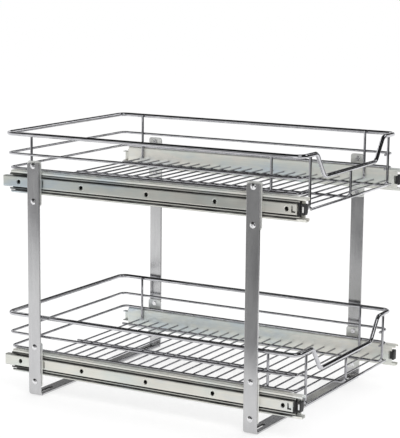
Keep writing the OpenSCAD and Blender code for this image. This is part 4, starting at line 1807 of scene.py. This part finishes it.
@dataclass(frozen=True)
class Studio:
    """White floor, a dim ceiling, soft lamps and grey cards for the metal; in metres.

    A lamp is its place, its size and its watts. A card is its two ends on the
    floor, its height and its grey.
    """

    floor_half: float = 60.0
    floor_drop: float = 0.0003
    floor_glow: float = 0.6
    aim_z: float = 0.2
    white_to: float = 0.17
    dim_from: float = 0.3
    dim: float = 0.02
    lamps: tuple[tuple[Triple, float, float], ...] = (
        ((-1.6, -2.2, 2.2), 1.6, 22.0), ((2.0, -1.4, 1.8), 1.2, 9.0), ((0.4, 2.4, 2.0), 1.4, 9.0))
    cards: tuple[tuple[Pair, Pair, float, float], ...] = (
        ((-0.42, -0.13), (-1.95, 1.80), 0.45, 0.28),
        ((-0.95, -0.62), (-0.15, -1.25), 0.9, 0.04),
        ((-0.15, -1.25), (0.95, -0.95), 0.9, 0.04))

    def sheet(self, name: str, corners: Sequence[Triple]) -> bpy.types.Object:
        """Makes a flat sheet of the studio.

        Args:
            name: Its name.
            corners: Its four corners in metres.

        Returns:
            The sheet, which is no part of the object.
        """
        mesh = bpy.data.meshes.new(name)
        mesh.from_pydata([tuple(c) for c in corners], [], [(0, 1, 2, 3)])
        obj = bpy.data.objects.new(name, mesh)
        bpy.context.scene.collection.objects.link(obj)
        return obj

    def floor(self) -> None:
        """Makes the floor.

        For what is seen, its own shading, which keeps the soft shadow, is mixed
        with an even white by floor_glow.
        """
        a, z = self.floor_half, -self.floor_drop
        obj = self.sheet("floor", [(-a, -a, z), (a, -a, z), (a, a, z), (-a, a, z)])
        nodes = Nodes("white_floor")
        tree = nodes.tree
        nodes.shader.inputs["Base Color"].default_value = (1, 1, 1, 1)
        nodes.shader.inputs["Roughness"].default_value = 1.0
        nodes.shader.inputs["Specular IOR Level"].default_value = 0.0
        glow = nodes.add("ShaderNodeEmission", Strength=1.0)
        both = nodes.add("ShaderNodeMixShader")
        share = nodes.add("ShaderNodeMath", operation="MULTIPLY")
        share.inputs[1].default_value = self.floor_glow
        nodes.join(self.seen(tree), share.inputs[0])
        nodes.join(share.outputs[0], both.inputs["Fac"])
        nodes.join(nodes.shader.outputs[0], both.inputs[1])
        nodes.join(glow.outputs[0], both.inputs[2])
        nodes.join(both.outputs[0], tree.nodes["Material Output"].inputs["Surface"])
        obj.data.materials.append(nodes.made)

    def stand_cards(self) -> None:
        """Makes the upright cards, each with its mirror image, seen by nothing but the metal."""
        for i, ((x0, y0), (x1, y1), high, grey) in enumerate(self.cards):
            nodes = Nodes(f"card_{i}")
            glow = nodes.add("ShaderNodeEmission", Strength=1.0)
            glow.inputs["Color"].default_value = (grey, grey, grey, 1)
            nodes.join(glow.outputs[0], nodes.tree.nodes["Material Output"].inputs["Surface"])
            for side in Side:
                a, b = -side.value * x0, -side.value * x1
                obj = self.sheet(f"card_{i}_{side.name.lower()}",
                                 [(a, y0, 0.0), (b, y1, 0.0), (b, y1, high), (a, y0, high)])
                obj.data.materials.append(nodes.made)
                obj.visible_camera = obj.visible_diffuse = False
                obj.visible_shadow = obj.visible_transmission = False

    @staticmethod
    def seen(tree: bpy.types.NodeTree) -> Socket:
        """Tells the rays that show the studio from those that only light it.

        Args:
            tree: Nodes to add to.

        Returns:
            1 for rays of the camera, of gloss and through glass, else 0.
        """
        path = tree.nodes.new("ShaderNodeLightPath")
        seen = path.outputs["Is Camera Ray"]
        for ray in ("Is Glossy Ray", "Is Transmission Ray"):
            most = tree.nodes.new("ShaderNodeMath")
            most.operation = "MAXIMUM"
            tree.links.new(seen, most.inputs[0])
            tree.links.new(path.outputs[ray], most.inputs[1])
            seen = most.outputs[0]
        return seen

    def world(self) -> None:
        """Makes the world: even white for plain light.

        For what is seen it is white up to the height white_to of the direction,
        and a dim ceiling from dim_from on.
        """
        world = bpy.data.worlds.new("studio")
        bpy.context.scene.world = world
        world.use_nodes = True
        tree = world.node_tree
        back = tree.nodes["Background"]
        toward = tree.nodes.new("ShaderNodeTexCoord")
        split = tree.nodes.new("ShaderNodeSeparateXYZ")
        ceiling = tree.nodes.new("ShaderNodeValToRGB")
        bar = ceiling.color_ramp.elements
        bar[0].position, bar[0].color = self.white_to, (1, 1, 1, 1)
        bar[1].position, bar[1].color = self.dim_from, (self.dim, self.dim, self.dim, 1)
        level = tree.nodes.new("ShaderNodeMix")
        level.data_type = "RGBA"
        level.inputs[6].default_value = (1, 1, 1, 1)
        tree.links.new(toward.outputs["Generated"], split.inputs[0])
        tree.links.new(split.outputs["Z"], ceiling.inputs["Fac"])
        tree.links.new(self.seen(tree), level.inputs[0])
        tree.links.new(ceiling.outputs["Color"], level.inputs[7])
        tree.links.new(level.outputs[2], back.inputs["Color"])
        back.inputs["Strength"].default_value = 1.0

    def lights(self) -> None:
        """Makes the soft lamps, each turned to the object's middle."""
        for i, (place, size, watts) in enumerate(self.lamps):
            data = bpy.data.lights.new(f"lamp_{i}", "AREA")
            data.shape, data.size, data.energy = "SQUARE", size, watts
            obj = bpy.data.objects.new(f"lamp_{i}", data)
            back = unit(np.array(place) - self.aim_z * UP)
            right = unit(np.cross(UP, back))
            obj.matrix_world = placed([right, np.cross(back, right), back], place)
            bpy.context.scene.collection.objects.link(obj)

    def build(self) -> None:
        """Makes the whole studio."""
        bpy.context.scene.view_settings.view_transform = "Standard"
        self.floor()
        self.stand_cards()
        self.world()
        self.lights()


def main() -> None:
    """Builds camera, studio, frames, slides and baskets, and keeps both boxes."""
    logging.basicConfig(level=logging.INFO, format="%(name)s: %(message)s")
    Camera().build()
    Studio().build()
    for place in Place:
        StrapFrame(place).build()
        Rivets(place).build()
        for tier in Tier:
            for side in Side:
                BracketPlate(tier, place, side).build()
    RailRivets().build()
    for tier in Tier:
        for side in Side:
            Slide(tier, side).build()
        WireBasket(tier).build()


if __name__ == "__main__":
    main()
